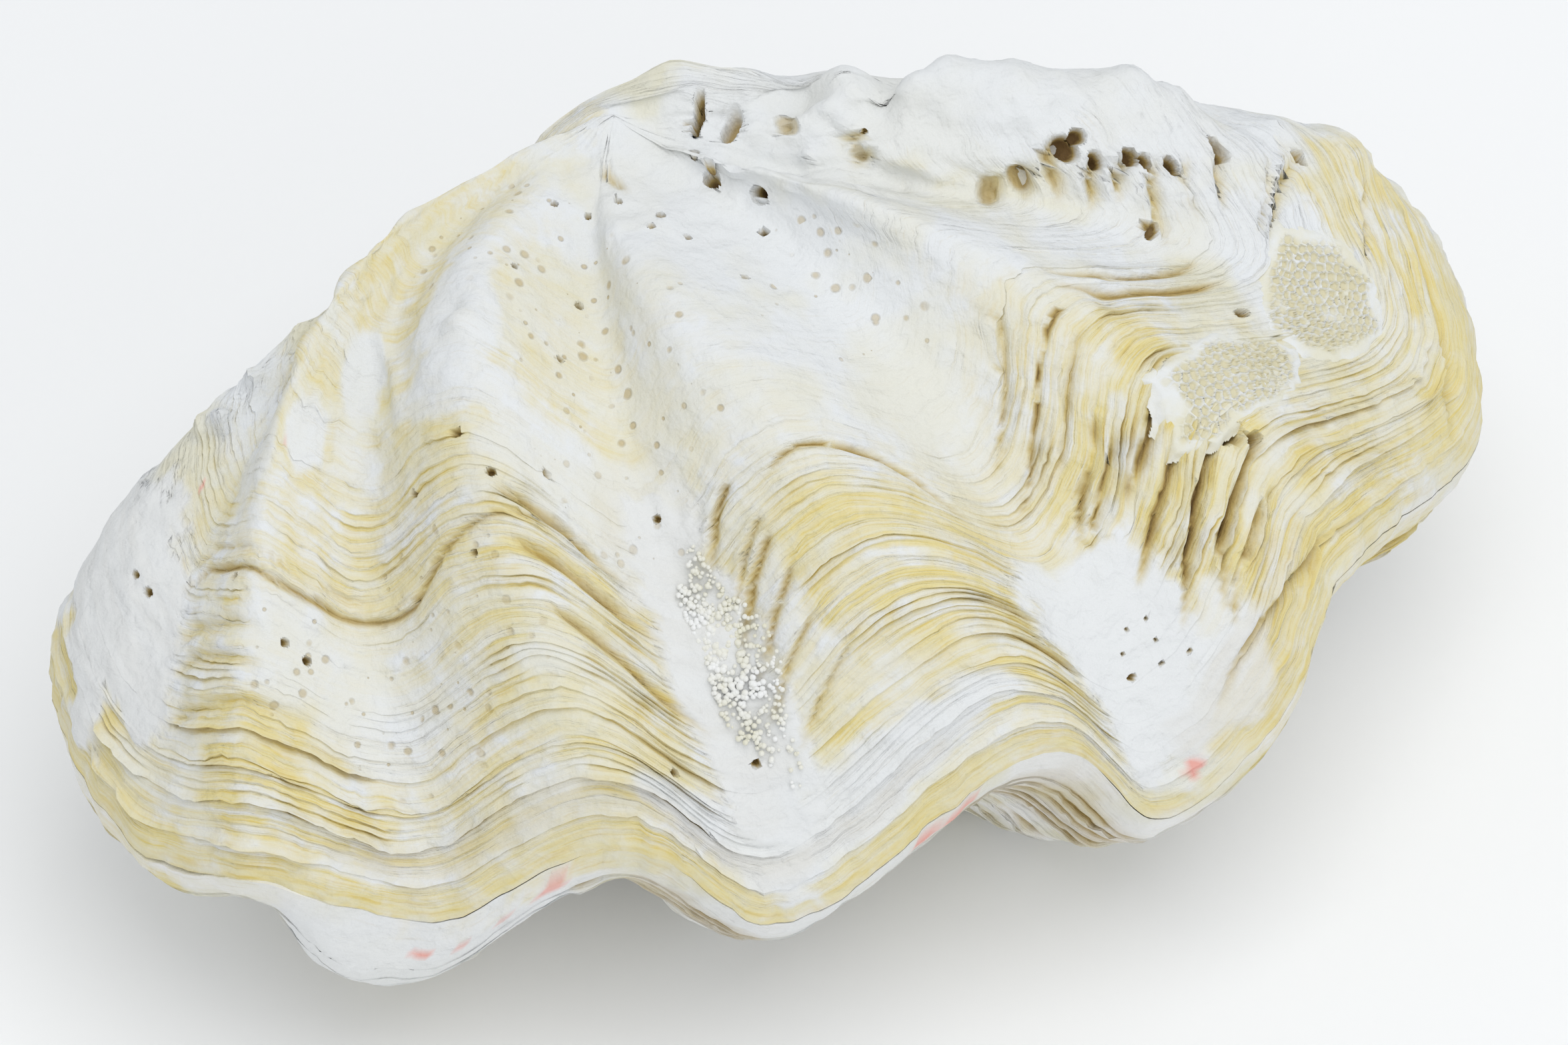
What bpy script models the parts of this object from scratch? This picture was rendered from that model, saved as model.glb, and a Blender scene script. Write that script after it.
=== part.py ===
"""Clam shell: both valves of a fluted giant clam, closed, worn and bored by other animals.

Metres, +Z up. The hinge is at the back (+Y) and the wavy opening at the front (-Y).
The origin is under the middle of the pair, on the floor that it rests on.

Every point of a valve has two coordinates. "turn" counts the design columns below round
the opening, so that 6.0 is on rib B. "growth" runs from 0 at the umbo to 1 at the edge.
"""
import bmesh
import bpy
import numpy as np

MM = 0.001

# Place of the umbo and height of the two domes over the plane of the opening, in mm.
UMBO = (-19.0, 61.0)
UMBO_HEIGHT = 66.0
LOWER_UMBO = (-8.0, 45.0)
LOWER_DEPTH = 62.0
WORN_FLAT_DEPTH = 62.0

# Design columns round the opening, from the left tip along the front to the right end
# and back along the hinge. Ribs are A to E, the furrows between them V0 to V4.
# x and y of the edge, height of the edge wave, sideways bow of the rib, how far its growth
# lines lag, height of the dome, and how far the lower valve swells out under the edge: mm.
COLUMNS = (
    ("left tip", -149, 12, 3, -4, 0.00, 60, 0),
    ("left rim", -152, -13, -1, -11, 0.00, 62, 3),
    ("V0", -142, -40, -5, -21, 0.00, 65, 1),
    ("A", -125, -56, 4, -31, 0.00, 70, 1),
    ("lobe", -108, -61, -5, -34, -0.01, 75, 12),
    ("V1", -87, -64, -12, -32, -0.02, 76, 11),
    ("B", -53, -73, 12, -30, 0.02, 76, 2),
    ("V2", -21, -82, -12, -17, -0.02, 76, -3),
    ("C", 33, -71, 12, -23, 0.02, 76, 0),
    ("V3", 57, -77, -12, 2, -0.02, 76, -4),
    ("band", 85, -67, 0, 3, 0.04, 76, 3),
    ("D", 105, -43, 12, -4, 0.07, 76, 0),
    ("V4", 141, -9, -8, -6, -0.08, 76, -1),
    ("right rim", 149, 12, 0, -8, -0.05, 78, 0),
    ("E", 145, 40, 6, -8, 0.00, 84, 0),
    ("hinge 1", 125, 57, 0, -6, 0.00, 84, 0),
    ("hinge 2", 85, 65, 0, -4, 0.00, 83, 0),
    ("hinge 3", 41, 72, 0, 0, 0.00, 80, 0),
    ("hinge 4", 1, 78, 0, 0, 0.00, 76, 0),
    ("hinge 5", -38, 77, 0, 0, 0.00, 68, 0),
    ("hinge 6", -82, 60, 0, 0, 0.00, 62, 0),
    ("hinge 7", -123, 35, 0, 0, 0.00, 58, 0),
)
FRONT_COLUMNS = 14
STEPS_PER_FRONT_COLUMN = 5
STEPS_PER_HINGE_COLUMN = 3

# Shape of the dome from umbo to edge, and how the rib relief grows on the way.
DOME_START = 2.4
DOME_END = 0.62
FULL_HEIGHT_GROWTH = 0.5
RELIEF_START = 1.4
RELIEF_AT_UMBO = 2.4
WORN_START = 0.03
WORN_END = 0.2
BOW_START = 0.8
BOW_PEAK = 3.44
LOWER_BOW = 0.6
SKIRT_GROWTH = 0.92
SKIRT_FADE = 0.3

# Wall and opening.
WALL = 8.0
RIM_WIDTH = 9.0
VALVE_GAP = 0.4
RIM_CENTRE = (0.0, 8.0)

# Growth ledges: growth at the lip of the ledge, and how far the lip stands out, in mm.
UPPER_LEDGES = ((0.36, 1.0), (0.53, 1.4), (0.675, 1.6), (0.71, 2.2), (0.80, 1.8), (0.86, 1.8),
                (0.92, 2.0), (0.955, 2.2), (0.985, 2.4))
LOWER_LEDGES = ((0.55, 1.4), (0.75, 1.8), (0.90, 2.0), (0.965, 1.6))
LEDGE_RUN = 0.09
LEDGE_DROP = 0.008
OUTER_ROWS_UPPER = (0.05, 0.11, 0.17, 0.23, 0.29, 0.36, 0.368, 0.45, 0.53, 0.538, 0.61, 0.675,
                    0.683, 0.71, 0.718, 0.76, 0.80, 0.808, 0.86, 0.868, 0.92, 0.928, 0.955, 0.963,
                    0.985, 1.0)
OUTER_ROWS_LOWER = (0.08, 0.18, 0.30, 0.42, 0.55, 0.558, 0.66, 0.75, 0.758, 0.84, 0.90, 0.908,
                    0.965, 1.0)
INNER_ROWS = (0.25, 0.5, 0.7, 0.85, 0.95, 1.0)

# Lumps (worn knobs of the umbo, a spine, crusts) and pits (worn hollows, and borings of other
# animals): turn, growth, radius and height in mm, a pit with a height below zero.
LUMPS = (
    (17.5, 0.28, 10, 5.5),
    (14.65, 0.30, 6, 2.0),
    (14.5, 0.42, 6, 4.0),
    (14.1, 0.63, 6, 3.5),
    (13.8, 0.88, 8, 3.5),
    (14.2, 0.90, 7, 2.5),
    (17.0, 0.02, 9, 2.5),
    (19.0, 0.16, 8, 3.0),
    (19.6, 0.28, 6, 2.0),
    (20.4, 0.38, 6, 1.5),
    (0.7, 0.67, 4, 4.0),
    (1.0, 0.82, 14, 2.0),
    (9.0, 0.82, 12, 1.5),
    (7.1, 0.74, 8, 1.5),
    (11.3, 0.84, 9, 1.5),
)
PITS = (
    (17.95, 0.41, 7, -1.6),
    (16.6, 0.47, 7, -1.3),
    (15.4, 0.28, 8, -4.5),
    (15.4, 0.45, 10, -6.0),
    (14.1, 0.76, 10, -4.5),
    (14.4, 0.76, 9, -1.5),
    (20.8, 0.50, 7, -1.5),
    (21.5, 0.74, 7, -1.0),
    (14.3, 0.15, 5, -3.0),
    (9.8, 0.20, 5, -2.5),
    (13.9, 0.30, 5, -3.0),
    (12.4, 0.37, 5, -2.0),
    (13.15, 0.49, 5, -3.0),
    (13.1, 0.57, 5, -2.5),
    (11.4, 0.66, 6, -2.0),
    (10.3, 0.87, 6, -2.5),
)
ROUGHNESS = 0.35
SEED = 11

UPPER_COLOUR = (0.86, 0.82, 0.66, 1.0)
LOWER_COLOUR = (0.88, 0.84, 0.76, 1.0)
SHELL_ROUGHNESS = 0.72

TABLE = np.array([column[1:] for column in COLUMNS], dtype=float)
EDGE = slice(0, 2)
WAVE, BOW, LAG, HEIGHT, SKIRT = 2, 3, 4, 5, 6


def around(turn):
    """Design values at a turn, by a smooth curve through the columns that closes on itself."""
    count = len(TABLE)
    turn = np.asarray(turn, dtype=float) % count
    first = np.floor(turn).astype(int)
    part = (turn - first)[..., None]
    before, here, after, beyond = (TABLE[(first + step) % count] for step in (-1, 0, 1, 2))
    return 0.5 * (
        2 * here
        + (after - before) * part
        + (2 * before - 5 * here + 4 * after - beyond) * part ** 2
        + (3 * here - before - 3 * after + beyond) * part ** 3
    )


def dome(growth):
    """Share of the dome's height that is left at a growth."""
    return (1 - np.clip(growth, 0, 1) ** DOME_START) ** DOME_END


def swell(growth):
    """Share of the edge wave that a growth line has; older lines wave a little more.

    The umbo is worn down to no wave at all.
    """
    worn = np.clip((growth - WORN_START) / (WORN_END - WORN_START), 0, 1)
    worn = worn * worn * (3 - 2 * worn)
    return worn * growth ** RELIEF_START * (1 + RELIEF_AT_UMBO * (1 - growth))


def edge_points(values, inset):
    """Edge of the opening in plan, moved inward by the inset."""
    edge = values[..., EDGE]
    inward = np.array(RIM_CENTRE) - edge
    length = np.linalg.norm(inward, axis=-1, keepdims=True)
    return edge + inward / length * inset


def spread(values, growth, umbo, inset, lag, bow_share):
    """Plan position on a rib that leaves the umbo and bows sideways on its way to the edge."""
    reach = edge_points(values, inset) - np.array(umbo)
    length = np.linalg.norm(reach, axis=-1, keepdims=True)
    side = np.stack([-reach[..., 1], reach[..., 0]], axis=-1) / length
    way = (growth - lag * 4 * growth * (1 - growth))[..., None]
    bow = values[..., BOW:BOW + 1] * bow_share * BOW_PEAK * way ** BOW_START * (1 - way)
    return np.array(umbo) + reach * way + side * bow, reach / length


def upper_surface(turn, growth, wall=0.0, inset=0.0):
    """Point of the upper valve in mm over the plane of the opening."""
    values = around(turn)
    plan, _ = spread(values, growth, UMBO, inset, values[..., LAG], 1.0)
    rise = np.clip(growth / FULL_HEIGHT_GROWTH, 0, 1)
    rise = rise * rise * (3 - 2 * rise)
    height = UMBO_HEIGHT + (values[..., HEIGHT] - UMBO_HEIGHT) * rise - wall
    z = dome(growth) * height + swell(growth) * values[..., WAVE] + VALVE_GAP / 2
    return np.concatenate([plan, z[..., None]], axis=-1)


def lower_surface(turn, growth, wall=0.0, inset=0.0):
    """Point of the lower valve in mm, under the plane of the opening."""
    values = around(turn)
    plan, outward = spread(values, growth, LOWER_UMBO, inset, 0.0, LOWER_BOW)
    inner_part = 1 - ((SKIRT_GROWTH - growth) / SKIRT_FADE) ** 2
    outer_part = 1 - ((growth - SKIRT_GROWTH) / (1 - SKIRT_GROWTH)) ** 2
    skirt = np.clip(np.where(growth < SKIRT_GROWTH, inner_part, outer_part), 0, 1)
    plan = plan + outward * (skirt * values[..., SKIRT])[..., None]
    z = -dome(growth) * (LOWER_DEPTH - wall) + swell(growth) * values[..., WAVE] - VALVE_GAP / 2
    return np.concatenate([plan, z[..., None]], axis=-1)


def turns():
    """Turns of the mesh columns, closer on the ribbed front than on the hinge side."""
    front = np.arange(0, FRONT_COLUMNS, 1 / STEPS_PER_FRONT_COLUMN)
    back = np.arange(FRONT_COLUMNS, len(COLUMNS), 1 / STEPS_PER_HINGE_COLUMN)
    return np.concatenate([front, back])


def ledges(growth, steps):
    """Height in mm of the growth ledges, each rising slowly to its lip and dropping off it."""
    height = np.zeros_like(growth)
    for lip, stand in steps:
        before = np.clip((growth - (lip - LEDGE_RUN)) / LEDGE_RUN, 0, 1) ** 2
        after = np.clip(1 - (growth - lip) / LEDGE_DROP, 0, 1)
        height = np.maximum(height, stand * before * after)
    return height


def features(points, places, surface):
    """Height in mm of the lumps or pits on a surface."""
    height = np.zeros(points.shape[:-1])
    for turn, growth, radius, stand in places:
        middle = surface(np.array(turn), np.array(growth))
        distance = np.linalg.norm(points - middle, axis=-1)
        height = height + stand * np.exp(-((distance / radius) ** 2) * 1.5)
    return height


def outward_normals(surface, turn, growth, upward):
    """Unit normals of a surface, pointing out of the shell."""
    step = 0.01
    along = surface(turn + step, growth) - surface(turn - step, growth)
    high = np.clip(growth + step, 0, 1)
    down = surface(turn, high) - surface(turn, np.clip(growth - step, 0.001, 1))
    normal = np.cross(along, down)
    normal /= np.linalg.norm(normal, axis=-1, keepdims=True)
    facing = np.sign(normal[..., 2:3]) * (1 if upward else -1)
    return np.where(facing < 0, -normal, normal)


def outside_rows(surface, rows, steps, places, upward, seed):
    """Rows of outside points, and the umbo point, with ledges, lumps, pits and wear."""
    turn, growth = np.meshgrid(turns(), np.array(rows))
    points = surface(turn, growth)
    wear = np.random.default_rng(seed).normal(0, ROUGHNESS, turn.shape)
    height = ledges(growth, steps) + features(points, places, surface) + wear
    height *= np.where(growth >= 1, 0, 1)
    points = points + outward_normals(surface, turn, growth, upward) * height[..., None]
    umbo = surface(np.array(0.0), np.array(0.0))
    return points, umbo


def inside_rows(surface):
    """Rows of inside points and the point under the umbo."""
    turn, growth = np.meshgrid(turns(), np.array(INNER_ROWS))
    points = surface(turn, growth, WALL, RIM_WIDTH)
    umbo = surface(np.array(0.0), np.array(0.0), WALL, RIM_WIDTH)
    return points, umbo


def valve_faces(outer_count, inner_count, columns):
    """Triangles of a valve: outside, rim band and inside, with a fan at each umbo."""
    inner_start = outer_count * columns
    outer_umbo = (outer_count + inner_count) * columns
    inner_umbo = outer_umbo + 1
    faces = []
    for start, count, umbo in ((0, outer_count, outer_umbo), (inner_start, inner_count, inner_umbo)):
        for column in range(columns):
            following = (column + 1) % columns
            faces.append((umbo, start + column, start + following))
            for row in range(count - 1):
                here = start + row * columns
                there = here + columns
                faces.append((here + column, there + column, there + following))
                faces.append((here + column, there + following, here + following))
    outer_edge = (outer_count - 1) * columns
    inner_edge = inner_start + (inner_count - 1) * columns
    for column in range(columns):
        following = (column + 1) % columns
        faces.append((outer_edge + column, inner_edge + following, inner_edge + column))
        faces.append((outer_edge + column, outer_edge + following, inner_edge + following))
    return faces


def principled(name, colour):
    """Chalky shell material."""
    material = bpy.data.materials.new(name)
    material.use_nodes = True
    shader = material.node_tree.nodes["Principled BSDF"]
    shader.inputs["Base Color"].default_value = colour
    shader.inputs["Roughness"].default_value = SHELL_ROUGHNESS
    material.diffuse_color = colour
    return material


def add_valve(name, collection, points, umbos, faces, material):
    """One closed valve from rows of points in metres."""
    mesh = bpy.data.meshes.new(name)
    mesh.from_pydata(np.concatenate([points, umbos]).tolist(), [], faces)
    solid = bmesh.new()
    solid.from_mesh(mesh)
    bmesh.ops.recalc_face_normals(solid, faces=solid.faces)
    solid.to_mesh(mesh)
    solid.free()
    for polygon in mesh.polygons:
        polygon.use_smooth = True
    mesh.materials.append(material)
    valve = bpy.data.objects.new(name, mesh)
    collection.objects.link(valve)


def main():
    for thing in list(bpy.data.objects):
        bpy.data.objects.remove(thing, do_unlink=True)
    collection = bpy.data.collections.new("clam_shell")
    bpy.context.scene.collection.children.link(collection)

    upper_outer, upper_umbo = outside_rows(
        upper_surface, OUTER_ROWS_UPPER, UPPER_LEDGES, LUMPS + PITS, True, SEED)
    lower_outer, lower_umbo = outside_rows(
        lower_surface, OUTER_ROWS_LOWER, LOWER_LEDGES, (), False, SEED + 1)
    lower_outer[..., 2] = np.maximum(lower_outer[..., 2], -WORN_FLAT_DEPTH)
    lower_umbo[2] = max(lower_umbo[2], -WORN_FLAT_DEPTH)

    valves = (
        ("upper_valve", upper_outer, upper_umbo, upper_surface, UPPER_COLOUR, "upper_shell"),
        ("lower_valve", lower_outer, lower_umbo, lower_surface, LOWER_COLOUR, "lower_shell"),
    )
    columns = len(turns())
    every_point = np.concatenate([upper_outer.reshape(-1, 3), lower_outer.reshape(-1, 3)])
    middle = (every_point.min(axis=0) + every_point.max(axis=0)) / 2
    base = np.array([middle[0], middle[1], every_point[:, 2].min()])
    print("moved by", (-base).round(3), "mm; size", np.ptp(every_point, axis=0).round(1), "mm")
    for name, outer, umbo, surface, colour, material in valves:
        inner, inner_umbo = inside_rows(surface)
        points = np.concatenate([outer.reshape(-1, 3), inner.reshape(-1, 3)])
        umbos = np.stack([umbo, inner_umbo])
        faces = valve_faces(len(outer), len(inner), columns)
        print(name, len(faces), "triangles")
        add_valve(name, collection, (points - base) * MM, (umbos - base) * MM, faces,
                  principled(material, colour))


main()
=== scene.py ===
"""Fluted clam shell: a closed pair of valves with stepped growth plates, bored and grown over.

Metres, +Z up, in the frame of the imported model. Sizes of the shell are given in millimetres.
A point of a valve has a turn, which counts the design columns round the opening, and a growth,
which runs from 0 at the umbo to 1 at the edge.
"""
import logging
import math
from dataclasses import dataclass, field
from enum import Enum
from typing import Callable, Sequence, Union

import bpy
import numpy as np
from mathutils import Matrix, Vector


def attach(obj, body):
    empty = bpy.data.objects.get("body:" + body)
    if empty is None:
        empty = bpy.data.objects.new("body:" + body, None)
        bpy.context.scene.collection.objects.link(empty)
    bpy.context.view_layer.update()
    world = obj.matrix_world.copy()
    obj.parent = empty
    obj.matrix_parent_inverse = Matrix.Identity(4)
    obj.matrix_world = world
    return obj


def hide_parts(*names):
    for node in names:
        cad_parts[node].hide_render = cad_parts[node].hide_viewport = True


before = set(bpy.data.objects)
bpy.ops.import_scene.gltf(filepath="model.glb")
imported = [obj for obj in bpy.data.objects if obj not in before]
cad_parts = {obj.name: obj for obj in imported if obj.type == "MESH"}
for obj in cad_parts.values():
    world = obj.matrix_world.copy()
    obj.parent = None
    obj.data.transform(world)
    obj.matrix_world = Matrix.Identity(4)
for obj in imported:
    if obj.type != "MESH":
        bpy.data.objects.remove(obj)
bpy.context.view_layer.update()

LOG = logging.getLogger("clam_shell")
MM = 0.001
PHOTO_SIZE = (2353, 1568)
FAR = 1e9
MERGE_DISTANCE = 0.000001
DULL_SPECULAR = 0.25
ATTRIBUTES = {"bands": "FLOAT_COLOR", "pink": "FLOAT", "pitted": "FLOAT"}
Surface = Callable[..., np.ndarray]
Colour = tuple[float, float, float]
Socket = bpy.types.NodeSocket


class Side(Enum):
    """The two valves of the shell."""

    UPPER = "upper_valve"
    LOWER = "lower_valve"


@dataclass(frozen=True)
class Column:
    """One design column: its edge point and how its rib runs. Lengths in mm."""

    name: str
    x: float
    y: float
    wave: float
    bow: float
    lag: float
    height: float
    skirt: float


COLUMNS = (
    Column("left tip", -149, 12, 3, -4, 0.00, 60, 0),
    Column("left rim", -152, -13, -1, -11, 0.00, 62, 3),
    Column("V0", -142, -40, -5, -21, 0.00, 65, 1),
    Column("A", -125, -56, 4, -31, 0.00, 70, 1),
    Column("lobe", -108, -61, -5, -34, -0.01, 75, 12),
    Column("V1", -87, -64, -12, -32, -0.02, 76, 11),
    Column("B", -53, -73, 12, -30, 0.02, 76, 2),
    Column("V2", -21, -82, -12, -17, -0.02, 76, -3),
    Column("C", 33, -71, 12, -23, 0.02, 76, 0),
    Column("V3", 57, -77, -12, 2, -0.02, 76, -4),
    Column("band", 85, -67, 0, 3, 0.04, 76, 3),
    Column("D", 105, -43, 12, -4, 0.07, 76, 0),
    Column("V4", 141, -9, -8, -6, -0.08, 76, -1),
    Column("right rim", 149, 12, 0, -8, -0.05, 78, 0),
    Column("E", 145, 40, 6, -8, 0.00, 84, 0),
    Column("hinge 1", 125, 57, 0, -6, 0.00, 84, 0),
    Column("hinge 2", 85, 65, 0, -4, 0.00, 83, 0),
    Column("hinge 3", 41, 72, 0, 0, 0.00, 80, 0),
    Column("hinge 4", 1, 78, 0, 0, 0.00, 76, 0),
    Column("hinge 5", -38, 77, 0, 0, 0.00, 68, 0),
    Column("hinge 6", -82, 60, 0, 0, 0.00, 62, 0),
    Column("hinge 7", -123, 35, 0, 0, 0.00, 58, 0),
)


def smoothstep(value: np.ndarray, low: float, high: float) -> np.ndarray:
    """Soft step from 0 at low to 1 at high.

    Args:
        value: numbers to step.
        low: where the step starts.
        high: where it ends.

    Returns:
        Numbers from 0 to 1.
    """
    part = np.clip((value - low) / (high - low), 0, 1)
    return part * part * (3 - 2 * part)


def unit(vectors: np.ndarray) -> np.ndarray:
    """Vectors scaled to length 1."""
    return vectors / np.maximum(np.linalg.norm(vectors, axis=-1, keepdims=True), 1e-12)


@dataclass(frozen=True)
class Grain:
    """Seeded smooth noise in space, from -1 to 1."""

    seed: int

    def at(self, points: np.ndarray, size: float) -> np.ndarray:
        """Noise with lumps of one size.

        Args:
            points: positions, in the unit of size.
            size: width of a lump.

        Returns:
            One number for each point.
        """
        scaled = np.asarray(points, dtype=float) / size
        cell = np.floor(scaled).astype(np.int64)
        part = scaled - cell
        part = part * part * (3 - 2 * part)
        total = np.zeros(scaled.shape[:-1])
        for corner in range(8):
            step = np.array([corner & 1, corner >> 1 & 1, corner >> 2 & 1])
            spot = cell + step
            mixed = (spot[..., 0] * 73856093) ^ (spot[..., 1] * 19349663) ^ (spot[..., 2] * 83492791)
            mixed = (mixed + self.seed * 374761393) & 0xFFFFFFFF
            mixed = ((mixed ^ (mixed >> 13)) * 1274126177) & 0xFFFFFFFF
            mixed = ((mixed ^ (mixed >> 16)) * 668265263) & 0xFFFFFFFF
            weight = np.prod(np.where(step == 1, part, 1 - part), axis=-1)
            total += weight * ((mixed >> 8 & 0xFFFF) / 32767.5 - 1)
        return total

    def rough(self, points: np.ndarray, size: float, octaves: int = 3) -> np.ndarray:
        """Noise with smaller lumps on the large ones.

        Args:
            points: positions, in the unit of size.
            size: width of the largest lumps.
            octaves: number of sizes.

        Returns:
            One number for each point.
        """
        total = np.zeros(np.asarray(points).shape[:-1])
        for octave in range(octaves):
            total += Grain(self.seed + 17 * octave).at(points, size / 2 ** octave) / 2 ** octave
        return total / 1.5


@dataclass
class ShellForm:
    """Smooth form of both valves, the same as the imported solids'. Sizes in mm."""

    umbo: tuple[float, float] = (-19.0, 61.0)
    umbo_height: float = 66.0
    lower_umbo: tuple[float, float] = (-8.0, 45.0)
    lower_depth: float = 62.0
    worn_flat_depth: float = 62.0
    dome_start: float = 2.4
    dome_end: float = 0.62
    full_height_growth: float = 0.5
    relief_start: float = 1.4
    relief_at_umbo: float = 2.4
    bow_start: float = 0.8
    bow_peak: float = 3.44
    lower_bow: float = 0.6
    skirt_growth: float = 0.92
    skirt_fade: float = 0.3
    wall: float = 8.0
    rim_width: float = 9.0
    gap: float = 0.4
    rim_centre: tuple[float, float] = (0.0, 8.0)
    set_down: tuple[float, float, float] = (2.086, 1.153, 62.0)
    table: np.ndarray = field(init=False)

    def __post_init__(self) -> None:
        """Reads the design columns into one table."""
        rows = [(c.x, c.y, c.wave, c.bow, c.lag, c.height, c.skirt) for c in COLUMNS]
        self.table = np.array(rows, dtype=float)

    def around(self, turn: np.ndarray) -> np.ndarray:
        """Design values at a turn, by a smooth curve that closes on itself.

        Args:
            turn: place round the opening, in columns.

        Returns:
            x, y, wave, bow, lag, height and skirt for each turn.
        """
        count = len(self.table)
        turn = np.asarray(turn, dtype=float) % count
        first = np.floor(turn).astype(int)
        part = (turn - first)[..., None]
        before, here, after, beyond = (self.table[(first + step) % count] for step in (-1, 0, 1, 2))
        return 0.5 * (
            2 * here
            + (after - before) * part
            + (2 * before - 5 * here + 4 * after - beyond) * part ** 2
            + (3 * here - before - 3 * after + beyond) * part ** 3
        )

    def dome(self, growth: np.ndarray) -> np.ndarray:
        """Share of the dome's height that is left at a growth."""
        return (1 - np.clip(growth, 0, 1) ** self.dome_start) ** self.dome_end

    def swell(self, growth: np.ndarray) -> np.ndarray:
        """Share of the edge wave that a growth line has, none on the worn umbo."""
        worn = smoothstep(growth, 0.03, 0.2)
        return worn * growth ** self.relief_start * (1 + self.relief_at_umbo * (1 - growth))

    def spread(self, values: np.ndarray, growth: np.ndarray, umbo: tuple[float, float], inset: float,
               lag: np.ndarray, bow_share: float) -> tuple[np.ndarray, np.ndarray]:
        """Plan position on a rib that bows sideways on its way from the umbo to the edge.

        Args:
            values: design values of the rib.
            growth: growth of the point.
            umbo: where the rib starts.
            inset: how far the edge is moved inward.
            lag: how far the growth lines stay behind.
            bow_share: share of the bow that is used.

        Returns:
            The plan positions and the outward plan directions.
        """
        edge = values[..., 0:2]
        edge = edge + unit(np.array(self.rim_centre) - edge) * inset
        reach = edge - np.array(umbo)
        outward = unit(reach)
        side = np.stack([-outward[..., 1], outward[..., 0]], axis=-1)
        way = (growth - lag * 4 * growth * (1 - growth))[..., None]
        bow = values[..., 3:4] * bow_share * self.bow_peak * way ** self.bow_start * (1 - way)
        return np.array(umbo) + reach * way + side * bow, outward

    def upper(self, turn: np.ndarray, growth: np.ndarray, wall: float = 0.0,
              inset: float = 0.0) -> np.ndarray:
        """Points of the upper valve, over the plane of the opening.

        Args:
            turn: turns of the points.
            growth: growths of the points.
            wall: how far the surface lies inside the outer one, in mm.
            inset: how far the edge is moved inward, in mm.

        Returns:
            Positions in mm.
        """
        values = self.around(turn)
        plan, _ = self.spread(values, growth, self.umbo, inset, values[..., 4], 1.0)
        rise = smoothstep(growth, 0, self.full_height_growth)
        height = self.umbo_height + (values[..., 5] - self.umbo_height) * rise - wall
        z = self.dome(growth) * height + self.swell(growth) * values[..., 2] + self.gap / 2
        return np.concatenate([plan, z[..., None]], axis=-1)

    def lower(self, turn: np.ndarray, growth: np.ndarray, wall: float = 0.0,
              inset: float = 0.0) -> np.ndarray:
        """Points of the lower valve, under the plane of the opening.

        Args:
            turn: turns of the points.
            growth: growths of the points.
            wall: how far the surface lies inside the outer one, in mm.
            inset: how far the edge is moved inward, in mm.

        Returns:
            Positions in mm.
        """
        values = self.around(turn)
        plan, outward = self.spread(values, growth, self.lower_umbo, inset, np.zeros_like(growth),
                                    self.lower_bow)
        inner_part = 1 - ((self.skirt_growth - growth) / self.skirt_fade) ** 2
        outer_part = 1 - ((growth - self.skirt_growth) / (1 - self.skirt_growth)) ** 2
        skirt = np.clip(np.where(growth < self.skirt_growth, inner_part, outer_part), 0, 1)
        plan = plan + outward * (skirt * values[..., 6])[..., None]
        z = -self.dome(growth) * (self.lower_depth - wall)
        z = z + self.swell(growth) * values[..., 2] - self.gap / 2
        return np.concatenate([plan, z[..., None]], axis=-1)

    def surface(self, side: Side) -> Surface:
        """The form of one valve."""
        return self.upper if side is Side.UPPER else self.lower

    def normals(self, side: Side, turn: np.ndarray, growth: np.ndarray) -> np.ndarray:
        """Unit normals that point out of the shell.

        Args:
            side: which valve.
            turn: turns of the points.
            growth: growths of the points.

        Returns:
            One unit vector for each point.
        """
        surface = self.surface(side)
        step = 0.01
        along = surface(turn + step, growth) - surface(turn - step, growth)
        high = np.clip(growth + step, 0.01, 1)
        low = np.clip(growth - step, 0.001, 0.99)
        down = surface(turn, high) - surface(turn, low)
        normal = unit(np.cross(along, down))
        facing = normal[..., 2:3] * (1 if side is Side.UPPER else -1)
        normal = np.where(facing < 0, -normal, normal)
        top = unit(np.array([-0.12, 0.25, 1.0 if side is Side.UPPER else -1.0]))
        return unit(normal + (top - normal) * (1 - smoothstep(growth, 0.05, 0.30))[..., None])

    def to_row(self, points: np.ndarray) -> np.ndarray:
        """Millimetres over the opening's plane, as metres in the frame of the model."""
        return (points + np.array(self.set_down)) * MM


FORM = ShellForm()


@dataclass(frozen=True)
class Zone:
    """Soft-edged oval area of a valve, in turns and growth."""

    turn: float
    growth: float
    half_turn: float
    half_growth: float
    strength: float = 1.0
    ragged: float = 0.35
    soft: float = 0.35
    skew: float = 0.0

    def mask(self, turn: np.ndarray, growth: np.ndarray, edge_noise: np.ndarray) -> np.ndarray:
        """How far each point is inside the zone.

        Args:
            turn: turns of the points.
            growth: growths of the points.
            edge_noise: noise from -1 to 1 that makes the border ragged.

        Returns:
            Numbers from 0 outside to the strength inside.
        """
        count = len(COLUMNS)
        across = (turn - self.turn + count / 2) % count - count / 2
        up = growth - self.growth + self.skew * across
        distance = np.hypot(across / self.half_turn, up / self.half_growth)
        distance = distance + edge_noise * self.ragged
        return self.strength * (1 - smoothstep(distance, 1 - self.soft / 2, 1 + self.soft / 2))


def strongest(zones: Sequence[Zone], turn: np.ndarray, growth: np.ndarray,
              edge_noise: np.ndarray) -> np.ndarray:
    """Largest mask of several zones at each point.

    Args:
        zones: the zones.
        turn: turns of the points.
        growth: growths of the points.
        edge_noise: noise from -1 to 1 that makes the borders ragged.

    Returns:
        One number for each point.
    """
    total = np.zeros_like(growth)
    for zone in zones:
        total = np.maximum(total, zone.mask(turn, growth, edge_noise))
    return total


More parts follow.
